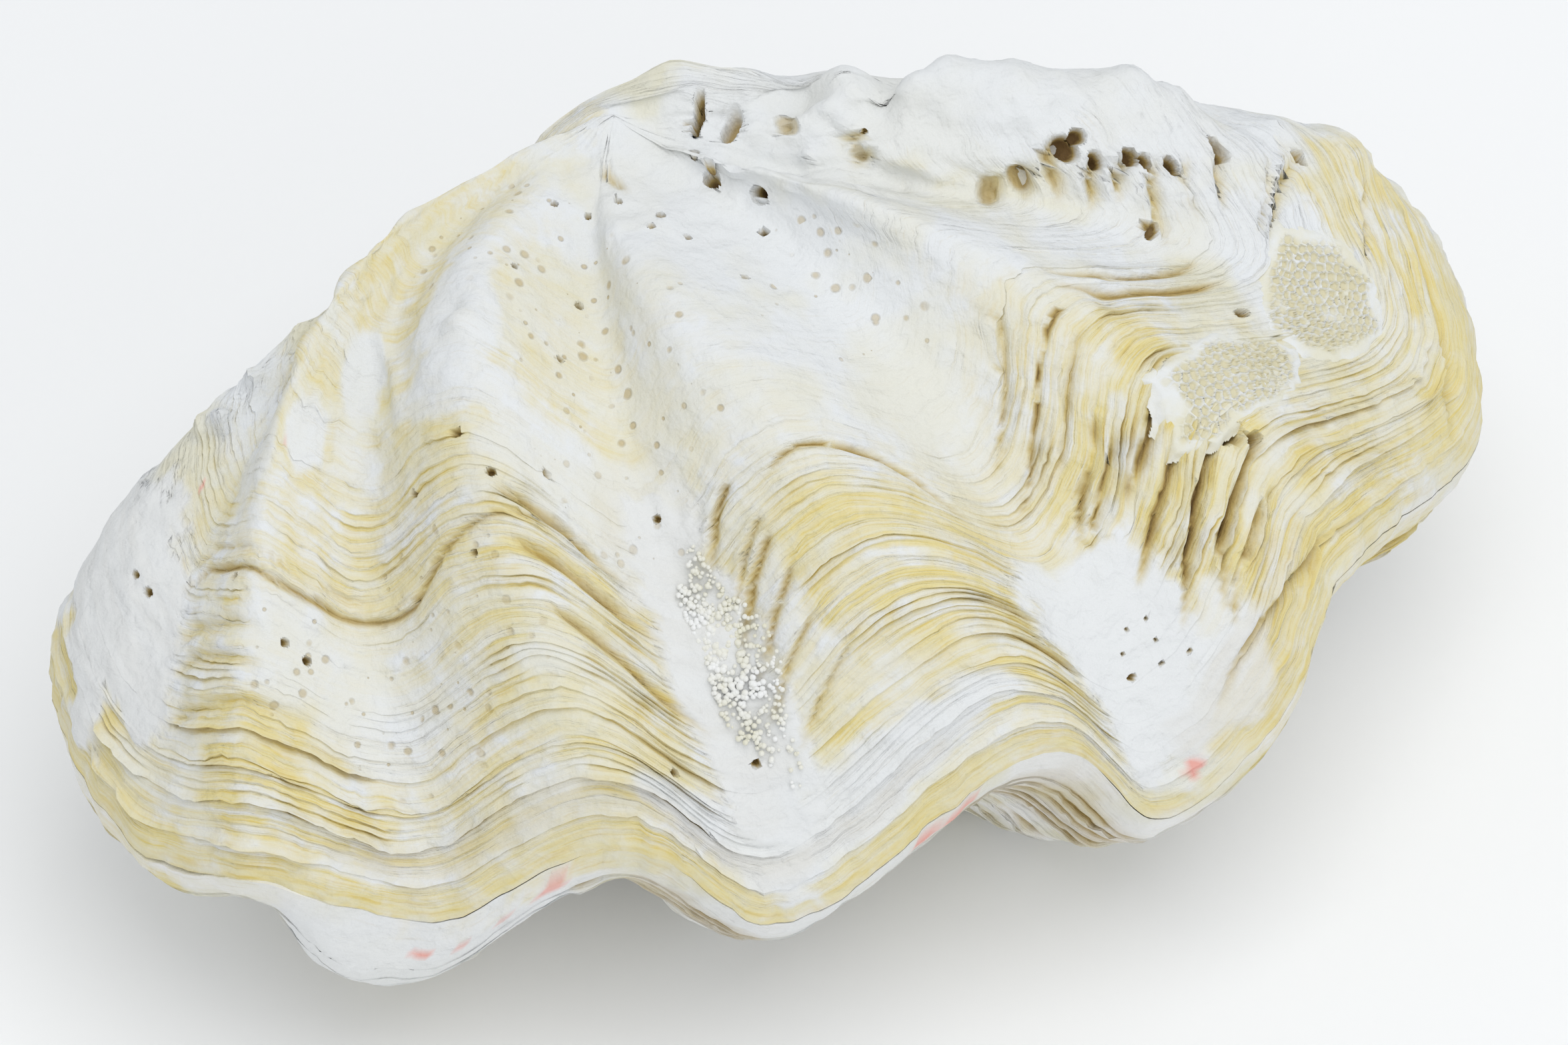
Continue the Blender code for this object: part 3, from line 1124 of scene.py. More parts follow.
    def bore(self, valve: bpy.types.Object) -> None:
        """Sinks the borings into the outside, after dividing the faces round each, and paints shade inside
        them.

        Args:
            valve: the closed valve.
        """
        if not self.borings:
            return
        surface = FORM.surface(self.side)
        turn = np.array([b.turn for b in self.borings])
        growth = np.array([b.growth for b in self.borings])
        middles = FORM.to_row(surface(turn, growth))
        normals = FORM.normals(self.side, turn, growth)
        ends = np.array([b.toward or (b.turn + 0.02, b.growth) for b in self.borings])
        along = surface(ends[:, 0], ends[:, 1]) - surface(turn, growth)
        along = unit(along - np.sum(along * normals, axis=-1, keepdims=True) * normals)
        mesh = valve.data
        centres = np.empty(len(mesh.polygons) * 3)
        mesh.polygons.foreach_get("center", centres)
        centres = centres.reshape(-1, 3)
        chosen = np.zeros(len(centres), dtype=bool)
        for boring, middle, normal, way in zip(self.borings, middles, normals, along):
            offset = (centres - middle) / MM
            chosen |= self._inside(offset, normal, way, boring, self.boring_margin)
        select_faces(valve, chosen)
        bpy.ops.mesh.subdivide(number_cuts=self.boring_cuts)
        bpy.ops.mesh.select_mode(type="VERT")
        bpy.ops.object.mode_set(mode="OBJECT")

        places = np.empty(len(mesh.vertices) * 3)
        mesh.vertices.foreach_get("co", places)
        places = places.reshape(-1, 3)
        colours = np.empty(len(mesh.vertices) * 4)
        layer = mesh.attributes["bands"]
        layer.data.foreach_get("color", colours)
        colours = colours.reshape(-1, 4)
        for boring, middle, normal, way in zip(self.borings, middles, normals, along):
            offset = (places - middle) / MM
            near = self._inside(offset, normal, way, boring, 0.0)
            share = self._distance(offset[near], normal, way, boring) / boring.radius
            sink = boring.depth * (1 - share ** 5)
            places[near] -= normal * (sink * MM)[:, None]
            # Painted shade: darker toward the middle of each hole and in wide holes, with the white taken
            # out.
            dark = boring.dark * smoothstep(1 - share, 0.02, 0.35)
            dark = dark * min(0.45 + 0.4 * boring.radius, 1.0)
            colours[near, 1] = np.maximum(colours[near, 1], dark)
            colours[near, 2] *= 1 - np.clip(2 * dark, 0, 1)
        mesh.vertices.foreach_set("co", places.reshape(-1))
        layer.data.foreach_set("color", colours.reshape(-1))
        mesh.update()

    @staticmethod
    def _distance(offset: np.ndarray, normal: np.ndarray, way: np.ndarray,
                  boring: Boring) -> np.ndarray:
        """Distance from a boring's axis, measured short along its stretch.

        Args:
            offset: positions from the boring's middle in mm.
            normal: direction out of the shell.
            way: direction of the stretch.
            boring: the boring.

        Returns:
            One distance in mm for each position.
        """
        flat = offset - (offset @ normal)[:, None] * normal
        lengthwise = flat @ way
        across = np.linalg.norm(flat - lengthwise[:, None] * way, axis=-1)
        return np.hypot(lengthwise / boring.stretch, across)

    def _inside(self, offset: np.ndarray, normal: np.ndarray, way: np.ndarray, boring: Boring,
                margin: float) -> np.ndarray:
        """Which points of the outer side lie in a boring or within a margin of it.

        Args:
            offset: positions from the boring's middle in mm.
            normal: direction out of the shell.
            way: direction of the stretch.
            boring: the boring.
            margin: width of the margin in mm.

        Returns:
            True for each such point.
        """
        close = np.linalg.norm(offset, axis=-1) < boring.radius * max(boring.stretch, 1.0) + 6
        result = np.zeros(len(offset), dtype=bool)
        result[close] = (self._distance(offset[close], normal, way, boring)
                         < boring.radius + margin)
        return result & (offset @ normal > -self.boring_reach)


@dataclass(frozen=True)
class CrustFinish:
    """Dead white coral and lime crust: pale walls, cups of their own cream with painted shade in them, and
    a fine grain.
    """

    name: str
    wall: Colour = (0.79, 0.80, 0.79)
    cream: Colour = (0.77, 0.745, 0.61)
    # hollow is the cups' own cream deepened by painted shade.
    hollow: Colour = (0.70, 0.65, 0.46)
    roughness: float = 0.85

    def material(self) -> bpy.types.Material:
        """Builds the material.

        Returns:
            A material that reads the crust's depth attribute and its place.
        """
        material, shader = dull_material(self.name, self.roughness)
        nodes = Nodes(material.node_tree)
        place = nodes.place()
        patches = nodes.ramp(nodes.noise(place, 120.0, 3.0), 0.4, 0.65)
        pale = nodes.mix(patches, self.wall, self.cream)
        # The cups are painted darker: partly their own cream, partly painted shade.
        colour = nodes.mix(nodes.attribute("depth").outputs["Fac"], pale, self.hollow)
        nodes.tree.links.new(colour, shader.inputs["Base Color"])
        grain = nodes.bump(nodes.noise(place, 1400.0, 4.0), 0.4, 0.0003)
        nodes.tree.links.new(grain, shader.inputs["Normal"])
        return material


@dataclass
class CoralCrust:
    """Patch of honeycomb coral grown on the upper valve. Sizes in mm, corners in turn and growth."""

    name: str
    corners: tuple[tuple[float, float], ...]
    finish: CrustFinish
    cell: float = 1.8
    wall: float = 0.2
    stand: float = 1.1
    cup: float = 0.75
    step: float = 0.33
    spare: float = 2.4
    thickness: float = 1.2
    smooth_angle: float = 55.0
    seed: int = 21

    def build(self) -> bpy.types.Object:
        """Models the patch as a thin closed crust whose rim dips into the shell.

        Returns:
            The finished piece.
        """
        corners = np.array(self.corners)
        centre = corners.mean(axis=0)
        middle = FORM.upper(centre[0], centre[1])
        normal = FORM.normals(Side.UPPER, centre[0], centre[1])
        way = unit(FORM.upper(centre[0] + 0.02, centre[1]) - middle)
        way = unit(way - (way @ normal) * normal)
        frame_axes = np.stack([way, np.cross(normal, way)], axis=-1)
        outline = (FORM.upper(corners[:, 0], corners[:, 1]) - middle) @ frame_axes

        low = corners.min(axis=0) - np.array([0.25, 0.04])
        high = corners.max(axis=0) + np.array([0.25, 0.04])
        high[1] = min(high[1], 0.99)
        width = np.linalg.norm(FORM.upper(high[0], centre[1]) - FORM.upper(low[0], centre[1]))
        height = np.linalg.norm(FORM.upper(centre[0], high[1]) - FORM.upper(centre[0], low[1]))
        turns = np.linspace(low[0], high[0], int(width / self.step))
        growths = np.linspace(low[1], high[1], int(height / self.step))
        turn, growth = np.meshgrid(turns, growths)
        points = FORM.upper(turn, growth)
        outward = FORM.normals(Side.UPPER, turn, growth)
        flat = (points - middle) @ frame_axes
        depth = self._depth(flat, outline) + self.spare + 2.2 * Grain(self.seed).rough(points, 5, 3)
        nearest, second = self._cells(flat)
        wall = 1 - smoothstep(second - nearest, self.wall, self.wall * 2.6)
        open_share = smoothstep(Grain(self.seed + 2).rough(points, 9, 2), -0.7, -0.25)
        hollow = (1 - wall) * smoothstep(depth, 0.8, 3.0) * open_share
        rise = self.stand * smoothstep(depth, -0.5, 3.5) - 1.4 * (1 - smoothstep(depth, -2.0, 0.6))
        rise += 0.35 * Grain(self.seed + 1).rough(points, 6, 2) - self.cup * hollow
        for lump in UPPER_LUMPS:
            rise += lump.rise(points, FORM.upper)
        top = points + outward * rise[..., None]
        crust = sheet(self.name, turns, len(growths), FORM.to_row(top))
        # The depth attribute marks the open cups, which the material paints in their cream with painted
        # shade.
        paint(crust.data, "depth", "FLOAT", np.clip(hollow, 0, 1))
        self._trim(crust, (depth < -2.2).reshape(-1))
        self._face_out(crust, normal)
        thick = crust.modifiers.new("thickness", "SOLIDIFY")
        thick.thickness = self.thickness * MM
        thick.offset = -1.0
        bpy.ops.object.modifier_apply(modifier=thick.name)
        bpy.ops.object.shade_smooth_by_angle(angle=math.radians(self.smooth_angle))
        dress(crust, self.finish.material())
        return crust

    @staticmethod
    def _depth(flat: np.ndarray, outline: np.ndarray) -> np.ndarray:
        """Distance inside a convex outline.

        Args:
            flat: positions on the plane of the patch in mm.
            outline: corners of the outline in mm.

        Returns:
            One distance in mm for each position, below zero outside.
        """
        sides = list(zip(outline, np.roll(outline, -1, axis=0)))
        turned = 0.5 * sum(a[0] * b[1] - a[1] * b[0] for a, b in sides)
        result = np.full(flat.shape[:-1], FAR)
        for start, end in sides:
            along = unit(end - start) * (1 if turned > 0 else -1)
            inward = np.array([-along[1], along[0]])
            result = np.minimum(result, (flat - start) @ inward)
        return result

    @staticmethod
    def _trim(crust: bpy.types.Object, outside: np.ndarray) -> None:
        """Deletes the faces that reach outside the patch.

        Args:
            crust: the sheet of the patch.
            outside: true for each point outside the patch.
        """
        mesh = crust.data
        corners = np.empty(len(mesh.polygons) * 4, dtype=int)
        mesh.polygons.foreach_get("vertices", corners)
        select_faces(crust, outside[corners.reshape(-1, 4)].any(axis=1))
        bpy.ops.mesh.delete(type="FACE")
        bpy.ops.mesh.select_mode(type="VERT")
        bpy.ops.mesh.select_all(action="SELECT")
        bpy.ops.mesh.delete_loose(use_verts=True, use_edges=True, use_faces=False)
        bpy.ops.mesh.select_all(action="SELECT")
        bpy.ops.mesh.normals_make_consistent(inside=False)
        bpy.ops.object.mode_set(mode="OBJECT")

    def _cells(self, flat: np.ndarray) -> tuple[np.ndarray, np.ndarray]:
        """Distances to the nearest and the second nearest cup of the coral.

        Args:
            flat: positions on the plane of the patch in mm.

        Returns:
            The two distances in mm for each position.
        """
        random = np.random.default_rng(self.seed)
        rise = self.cell * math.sqrt(3) / 2
        low = flat.reshape(-1, 2).min(axis=0) - self.cell
        high = flat.reshape(-1, 2).max(axis=0) + self.cell
        cups = []
        for row in range(int((high[1] - low[1]) / rise) + 1):
            for column in range(int((high[0] - low[0]) / self.cell) + 1):
                cups.append((low[0] + (column + 0.5 * (row % 2)) * self.cell, low[1] + row * rise))
        cups = np.array(cups) + random.normal(0, 0.17 * self.cell, (len(cups), 2))
        spots = flat.reshape(-1, 2)
        nearest = np.full(len(spots), FAR)
        second = np.full(len(spots), FAR)
        for cup in cups:
            distance = np.hypot(spots[:, 0] - cup[0], spots[:, 1] - cup[1])
            second = np.minimum(second, np.maximum(distance, nearest))
            nearest = np.minimum(nearest, distance)
        return nearest.reshape(flat.shape[:-1]), second.reshape(flat.shape[:-1])

    @staticmethod
    def _face_out(crust: bpy.types.Object, normal: np.ndarray) -> None:
        """Turns the crust's faces over if they point into the shell.

        Args:
            crust: the crust.
            normal: direction out of the shell.
        """
        mesh = crust.data
        normals = np.empty(len(mesh.polygons) * 3)
        mesh.polygons.foreach_get("normal", normals)
        if normals.reshape(-1, 3).mean(axis=0) @ normal < 0:
            bpy.ops.object.mode_set(mode="EDIT")
            bpy.ops.mesh.select_all(action="SELECT")
            bpy.ops.mesh.flip_normals()
            bpy.ops.object.mode_set(mode="OBJECT")


@dataclass
class Granules:
    """Lime grains that fill a furrow, as one piece. Sizes in mm."""

    name: str
    zone: Zone
    finish: CrustFinish
    count: int = 560
    radius: tuple[float, float] = (0.4, 0.85)
    seed: int = 31

    def build(self) -> bpy.types.Object:
        """Models one grain and copies it over the furrow.

        Returns:
            The finished piece.
        """
        random = np.random.default_rng(self.seed)
        deselect()
        bpy.ops.mesh.primitive_ico_sphere_add(subdivisions=2, radius=1.0, location=(0, 0, 0))
        grain = bpy.context.object
        bpy.ops.object.mode_set(mode="EDIT")
        bpy.ops.mesh.select_all(action="SELECT")
        bpy.ops.transform.vertex_random(offset=0.12, seed=4)
        bpy.ops.object.mode_set(mode="OBJECT")
        copies = []
        for _ in range(self.count):
            angle = random.uniform(0, 2 * math.pi)
            out = math.sqrt(random.uniform(0, 1))
            out *= 1 + 0.3 * math.sin(3 * angle + 1) * math.cos(2 * angle)
            turn = np.array(self.zone.turn + self.zone.half_turn * out * math.cos(angle))
            growth = np.array(self.zone.growth + self.zone.half_growth * out * math.sin(angle))
            normal = FORM.normals(Side.UPPER, turn, growth)
            radius = random.uniform(*self.radius) * (1.1 - 0.4 * out)
            stand = random.uniform(1.5, 2.1) - 0.2 * radius
            place = FORM.to_row(FORM.upper(turn, growth) + normal * stand)
            mesh = grain.data.copy()
            spin = random.uniform(0, 6.28)
            turned = Matrix.Rotation(spin, 4, Vector(random.normal(size=3)).normalized())
            mesh.transform(Matrix.Translation(Vector(place)) @ turned @ Matrix.Scale(radius * MM, 4))
            copy = bpy.data.objects.new(self.name, mesh)
            bpy.context.scene.collection.objects.link(copy)
            copies.append(copy)
        bpy.data.objects.remove(grain, do_unlink=True)
        take_up(*copies)
        bpy.ops.object.join()
        piece = bpy.context.object
        piece.name = self.name
        bpy.ops.object.shade_smooth()
        paint(piece.data, "depth", "FLOAT", np.zeros(len(piece.data.vertices)))
        dress(piece, self.finish.material())
        return piece


@dataclass
class Studio:
    """Pale floor, soft light and a camera at the photo's angle. Metres and degrees."""

    azimuth: float = -15.0
    elevation: float = 52.0
    lens: float = 300.0
    sensor: float = 36.0
    mm_per_pixel: float = 0.134
    floor_colour: Colour = (0.96, 0.96, 0.96)
    sky_colour: Colour = (0.94, 0.97, 1.0)
    sky_strength: float = 0.68
    known_pixel: tuple[float, float] = (1150.0, 1000.0)
    known_point: tuple[float, float, float] = (-12.0, -28.0, 0.0)

    def build(self) -> None:
        """Builds the floor, the world, the lights and the camera."""
        self._floor()
        self._world()
        self._lights()
        self._camera()

    def _axes(self) -> tuple[np.ndarray, np.ndarray, np.ndarray]:
        """Directions of the camera.

        Returns:
            Right, up and back.
        """
        azimuth = math.radians(self.azimuth)
        elevation = math.radians(self.elevation)
        right = np.array([math.cos(azimuth), math.sin(azimuth), 0])
        up = np.array([-math.sin(azimuth) * math.sin(elevation),
                       math.cos(azimuth) * math.sin(elevation), math.cos(elevation)])
        return right, up, np.cross(right, up)

    def _camera(self) -> None:
        """Aims a long lens so that one photo pixel shows the same length as in the photo."""
        right, up, back = self._axes()
        middle_pixel = np.array([PHOTO_SIZE[0] / 2, PHOTO_SIZE[1] / 2])
        offset = (middle_pixel - np.array(self.known_pixel)) * self.mm_per_pixel * MM
        target = FORM.to_row(np.array(self.known_point)) + right * offset[0] - up * offset[1]
        distance = self.lens / self.sensor * PHOTO_SIZE[0] * self.mm_per_pixel * MM
        data = bpy.data.cameras.new("photo_camera")
        data.lens = self.lens
        data.sensor_width = self.sensor
        data.sensor_fit = "HORIZONTAL"
        data.clip_end = 50
        camera = bpy.data.objects.new("photo_camera", data)
        bpy.context.scene.collection.objects.link(camera)
        turn = np.eye(4)
        turn[:3, 0], turn[:3, 1], turn[:3, 2] = right, up, back
        turn[:3, 3] = target + back * distance
        camera.matrix_world = Matrix(turn.tolist())
        bpy.context.scene.camera = camera

    def _floor(self) -> None:
        """A wide pale floor."""
        deselect()
        bpy.ops.mesh.primitive_plane_add(size=8.0, location=(0, 0, -0.0005))
        floor = bpy.context.object
        floor.name = "floor"
        material, shader = dull_material("pale_floor", 0.9, 0.5)
        shader.inputs["Base Color"].default_value = (*self.floor_colour, 1)
        floor.data.materials.append(material)

    def _world(self) -> None:
        """Even pale surroundings."""
        world = bpy.data.worlds.new("studio")
        world.use_nodes = True
        background = world.node_tree.nodes["Background"]
        background.inputs["Color"].default_value = (*self.sky_colour, 1)
        background.inputs["Strength"].default_value = self.sky_strength
        bpy.context.scene.world = world
        bpy.context.scene.view_settings.view_transform = "Standard"

    def _lights(self) -> None:
        """One large key light from above and a low fill from the front."""
        for name, place, size, power in (
            ("key", (0.15, -0.3, 1.85), 1.4, 12.0),
            ("fill", (0.6, -1.5, 0.9), 1.6, 4.0),
        ):
            data = bpy.data.lights.new(name, "AREA")
            data.energy = power
            data.size = size
            light = bpy.data.objects.new(name, data)
            bpy.context.scene.collection.objects.link(light)
            aim = Vector((0, 0, 0.06)) - Vector(place)
            turned = aim.to_track_quat("-Z", "Y").to_matrix().to_4x4()
            light.matrix_world = Matrix.Translation(Vector(place)) @ turned


UPPER_LUMPS = tuple(Lump(*row) for row in (
    (17.5, 0.28, 10, 5.5), (16.4, 0.30, 7, 0.5), (15.4, 0.28, 8, -4.5), (15.4, 0.45, 10, -6.0),
    (14.65, 0.30, 6, 2.0), (13.94, 0.31, 3.5, -4.0), (14.2, 0.36, 4.5, 3.0), (14.5, 0.42, 6, 4.0),
    (14.1, 0.48, 7, 0.5), (14.1, 0.63, 6, 3.5), (14.1, 0.76, 10, -4.5), (14.4, 0.76, 9, -1.5),
    (14.2, 0.90, 7, 2.5), (13.8, 0.88, 8, 3.5), (17.95, 0.41, 7, -1.6), (16.6, 0.47, 7, -1.3),
    (19.0, 0.48, 8, 1.2), (12.35, 0.265, 4.5, -1.6), (13.3, 0.235, 3.5, -2.2), (13.0, 0.24, 3.0, -1.5),
    (14.4, 0.14, 4, -2.0), (13.9, 0.184, 3.4, -2.8), (12.7, 0.18, 2.6, 1.8), (12.06, 0.208, 5, 2.0),
    (15.06, 0.316, 4, 1.6), (14.44, 0.335, 3.4, -3.2), (12.16, 0.352, 3, -1.8), (12.6, 0.388, 3, -2.0),
    (10.8, 0.40, 9, 1.2), (10.9, 0.22, 4, -1.4), (9.6, 0.10, 3.5, 1.4), (7.6, 0.05, 4, 1.6),
    (17.0, 0.02, 9, 2.5), (2.5, 0.10, 5, 1.5), (2.0, 0.185, 4, -1.2), (3.2, 0.25, 5, 1.4),
    (3.2, 0.31, 4, -1.0), (3.2, 0.37, 5, 1.3), (2.8, 0.42, 3.5, -1.0), (2.9, 0.48, 5, 1.3),
    (19.0, 0.16, 8, 3.0), (19.6, 0.28, 6, 2.0), (20.4, 0.38, 6, 1.5), (20.8, 0.50, 7, -1.5),
    (21.6, 0.58, 5, -1.0), (0.5, 0.59, 5, 1.0), (0.68, 0.655, 2.3, 6.0), (0.48, 0.60, 2.2, 4.0),
    (0.3, 0.70, 3.0, 2.5), (21.5, 0.74, 7, -1.0), (1.0, 0.82, 14, 2.0), (5.94, 0.43, 4, 2.2),
    (5.8, 0.40, 3, -1.2), (11.4, 0.63, 5, 1.5), (11.3, 0.67, 5, -2.2), (9.0, 0.82, 12, 1.5),
    (7.1, 0.74, 8, 1.5), (11.3, 0.84, 9, 1.5),
))

UPPER_FURROWS = (
    Furrow(((11.16, 0.79), (10.8, 0.80), (10.4, 0.80), (10.0, 0.79), (9.8, 0.79)), 2.6, 3.4, 0.75),
    Furrow(((10.96, 0.83), (10.4, 0.83), (10.0, 0.825), (9.7, 0.83), (9.5, 0.84)), 2.4, 3.2, 0.75),
    Furrow(((11.0, 0.875), (10.7, 0.868), (10.3, 0.862), (9.9, 0.872), (9.6, 0.90)), 2.4, 3.8, 1.0),
    Furrow(((11.06, 0.90), (10.8, 0.903), (10.5, 0.90), (10.2, 0.895), (9.9, 0.925)), 2.2, 3.2, 0.85),
    Furrow(((10.9, 0.93), (10.5, 0.925), (10.1, 0.92), (9.9, 0.94)), 1.8, 2.2, 0.55),
    Furrow(((11.2, 0.665), (10.7, 0.67), (10.1, 0.655), (9.6, 0.66),
            (8.9, 0.705)), 1.4, 1.5, 0.8, lip=0.1),
    Furrow(((10.2, 0.735), (9.8, 0.735), (9.5, 0.745), (9.3, 0.765)), 1.8, 2.2, 0.5),
    Furrow(((10.2, 0.76), (9.8, 0.758), (9.5, 0.765), (9.35, 0.78)), 1.6, 2.0, 0.45),
    Furrow(((10.6, 0.60), (9.8, 0.608), (9.4, 0.62), (9.0, 0.65)), 1.8, 1.5, 0.25),
    Furrow(((10.9, 0.70), (10.4, 0.70), (9.9, 0.695), (9.4, 0.71)), 2.0, 1.6, 0.2),
    Furrow(((1.7, 0.79), (2.1, 0.75), (2.9, 0.752), (4.0, 0.752), (4.9, 0.75), (5.24, 0.752),
            (5.54, 0.722), (5.9, 0.705), (6.3, 0.68), (6.6, 0.655)), 1.9, 1.4, 0.5),
    Furrow(((1.6, 0.77), (2.1, 0.725), (3.2, 0.732), (4.1, 0.73), (4.9, 0.728),
            (5.3, 0.715)), 1.6, 0.8, 0.12),
    Furrow(((7.7, 0.65), (8.0, 0.632), (8.2, 0.628), (8.42, 0.64), (8.54, 0.672),
            (8.7, 0.72)), 1.5, 1.5, 0.55),
    Furrow(((7.56, 0.62), (7.4, 0.635), (7.25, 0.676)), 1.9, 1.7, 0.5, steep=0.6, lip=0.5),
    Furrow(((7.6, 0.70), (7.4, 0.725), (7.2, 0.776)), 2.0, 2.0, 0.5, steep=0.6, lip=0.5),
    Furrow(((7.62, 0.675), (7.42, 0.70), (7.26, 0.74)), 1.6, 1.4, 0.2, steep=0.6, lip=0.5),
    Furrow(((7.6, 0.745), (7.4, 0.772), (7.2, 0.815)), 1.9, 1.9, 0.4, steep=0.6, lip=0.5),
    Furrow(((7.55, 0.80), (7.35, 0.82), (7.18, 0.856)), 1.7, 1.5, 0.3, steep=0.6, lip=0.5),
    Furrow(((7.6, 0.85), (7.4, 0.868), (7.24, 0.895)), 1.5, 1.2, 0.2, steep=0.6, lip=0.5),
    Furrow(((1.84, 0.84), (2.1, 0.812), (2.7, 0.808), (3.4, 0.81)), 3.0, 1.5, 0.05),
    Furrow(((1.84, 0.872), (2.16, 0.842), (2.72, 0.84), (3.4, 0.848)), 3.0, 1.6, 0.05),
    Furrow(((1.85, 0.92), (2.3, 0.888), (2.74, 0.882), (3.4, 0.88), (4.2, 0.868)), 3.2, 1.7, 0.05),
    Furrow(((6.0, 0.665), (6.4, 0.67), (6.74, 0.69)), 2.0, 2.4, 0.4),
    Furrow(((6.0, 0.73), (6.4, 0.73), (6.84, 0.75)), 2.2, 2.6, 0.4),
    Furrow(((6.1, 0.80), (6.5, 0.81), (6.9, 0.85)), 2.0, 2.0, 0.35),
    Furrow(((12.0, 0.60), (11.7, 0.615), (11.45, 0.625), (11.2, 0.61)), 2.0, 1.4, 0.5, lip=0.4),
    Furrow(((11.9, 0.65), (11.6, 0.655), (11.4, 0.66), (11.1, 0.64)), 2.2, 1.6, 0.6, lip=0.4),
    Furrow(((12.6, 0.362), (12.3, 0.355), (12.0, 0.35)), 3.0, 2.4, 0.25, lip=0.4),
    Furrow(((12.85, 0.405), (12.6, 0.395), (12.2, 0.385)), 3.0, 2.6, 0.3, lip=0.4),
    Furrow(((13.3, 0.475), (13.04, 0.445), (12.7, 0.43), (12.2, 0.42)), 3.2, 3.2, 0.45, lip=0.4),
    Furrow(((13.15, 0.505), (12.7, 0.472), (12.2, 0.455)), 2.8, 3.0, 0.3, lip=0.5),
    Furrow(((13.2, 0.548), (12.9, 0.515), (12.4, 0.49)), 2.6, 2.8, 0.3, lip=0.5),
    Furrow(((13.2, 0.58), (12.8, 0.55), (12.4, 0.535), (11.96, 0.56)), 2.8, 2.6, 0.25, lip=0.5),
    Furrow(((13.3, 0.625), (12.9, 0.595), (12.4, 0.59)), 2.4, 1.8, 0.12, lip=0.5),
    Furrow(((13.56, 0.69), (13.2, 0.655), (12.7, 0.635)), 2.6, 2.4, 0.25, lip=0.5),
    Furrow(((13.6, 0.79), (13.2, 0.735), (12.7, 0.695), (12.3, 0.672)), 2.6, 2.4, 0.2, lip=0.5),
    Furrow(((13.5, 0.745), (13.0, 0.705), (12.5, 0.66)), 1.8, 1.4, 0.12, lip=0.4),
    Furrow(((13.6, 0.88), (13.3, 0.852), (12.96, 0.832), (12.6, 0.82)), 1.4, 1.2, 0.3, lip=0.2),
    Furrow(((13.56, 0.93), (13.1, 0.926), (12.5, 0.926), (12.1, 0.952),
            (11.9, 0.99)), 3.2, 2.4, 0.25, lip=0.15),
    Furrow(((14.7, 0.243), (13.9, 0.25), (13.16, 0.252), (12.52, 0.296), (11.9, 0.36)), 3.4, -1.5, 0.0,
           steep=0.9, lip=0.0, straight=True),
    Furrow(((13.4, 0.26), (13.2, 0.23)), 2.6, 2.2, 0.3, steep=0.9),
    Furrow(((13.1, 0.262), (12.8, 0.235), (12.6, 0.22)), 2.2, 1.8, 0.2, steep=0.9),
    Furrow(((13.9, 0.20), (13.6, 0.175)), 2.0, 1.8, 0.25, steep=0.9),
    Furrow(((11.2, 0.985), (10.7, 0.978), (10.4, 0.965), (10.1, 0.955), (9.8, 0.955),
            (9.5, 0.97)), 3.0, 2.4, 0.4),
    Furrow(((7.36, 0.06), (8.08, 0.08), (8.26, 0.104)), 2.4, 1.3, 0.3, steep=0.9, straight=True),
    Furrow(((4.3, 0.30), (4.7, 0.37), (5.2, 0.45), (5.4, 0.58)), 3.0, -1.5, 0.0, steep=1.0, lip=0.0),
)

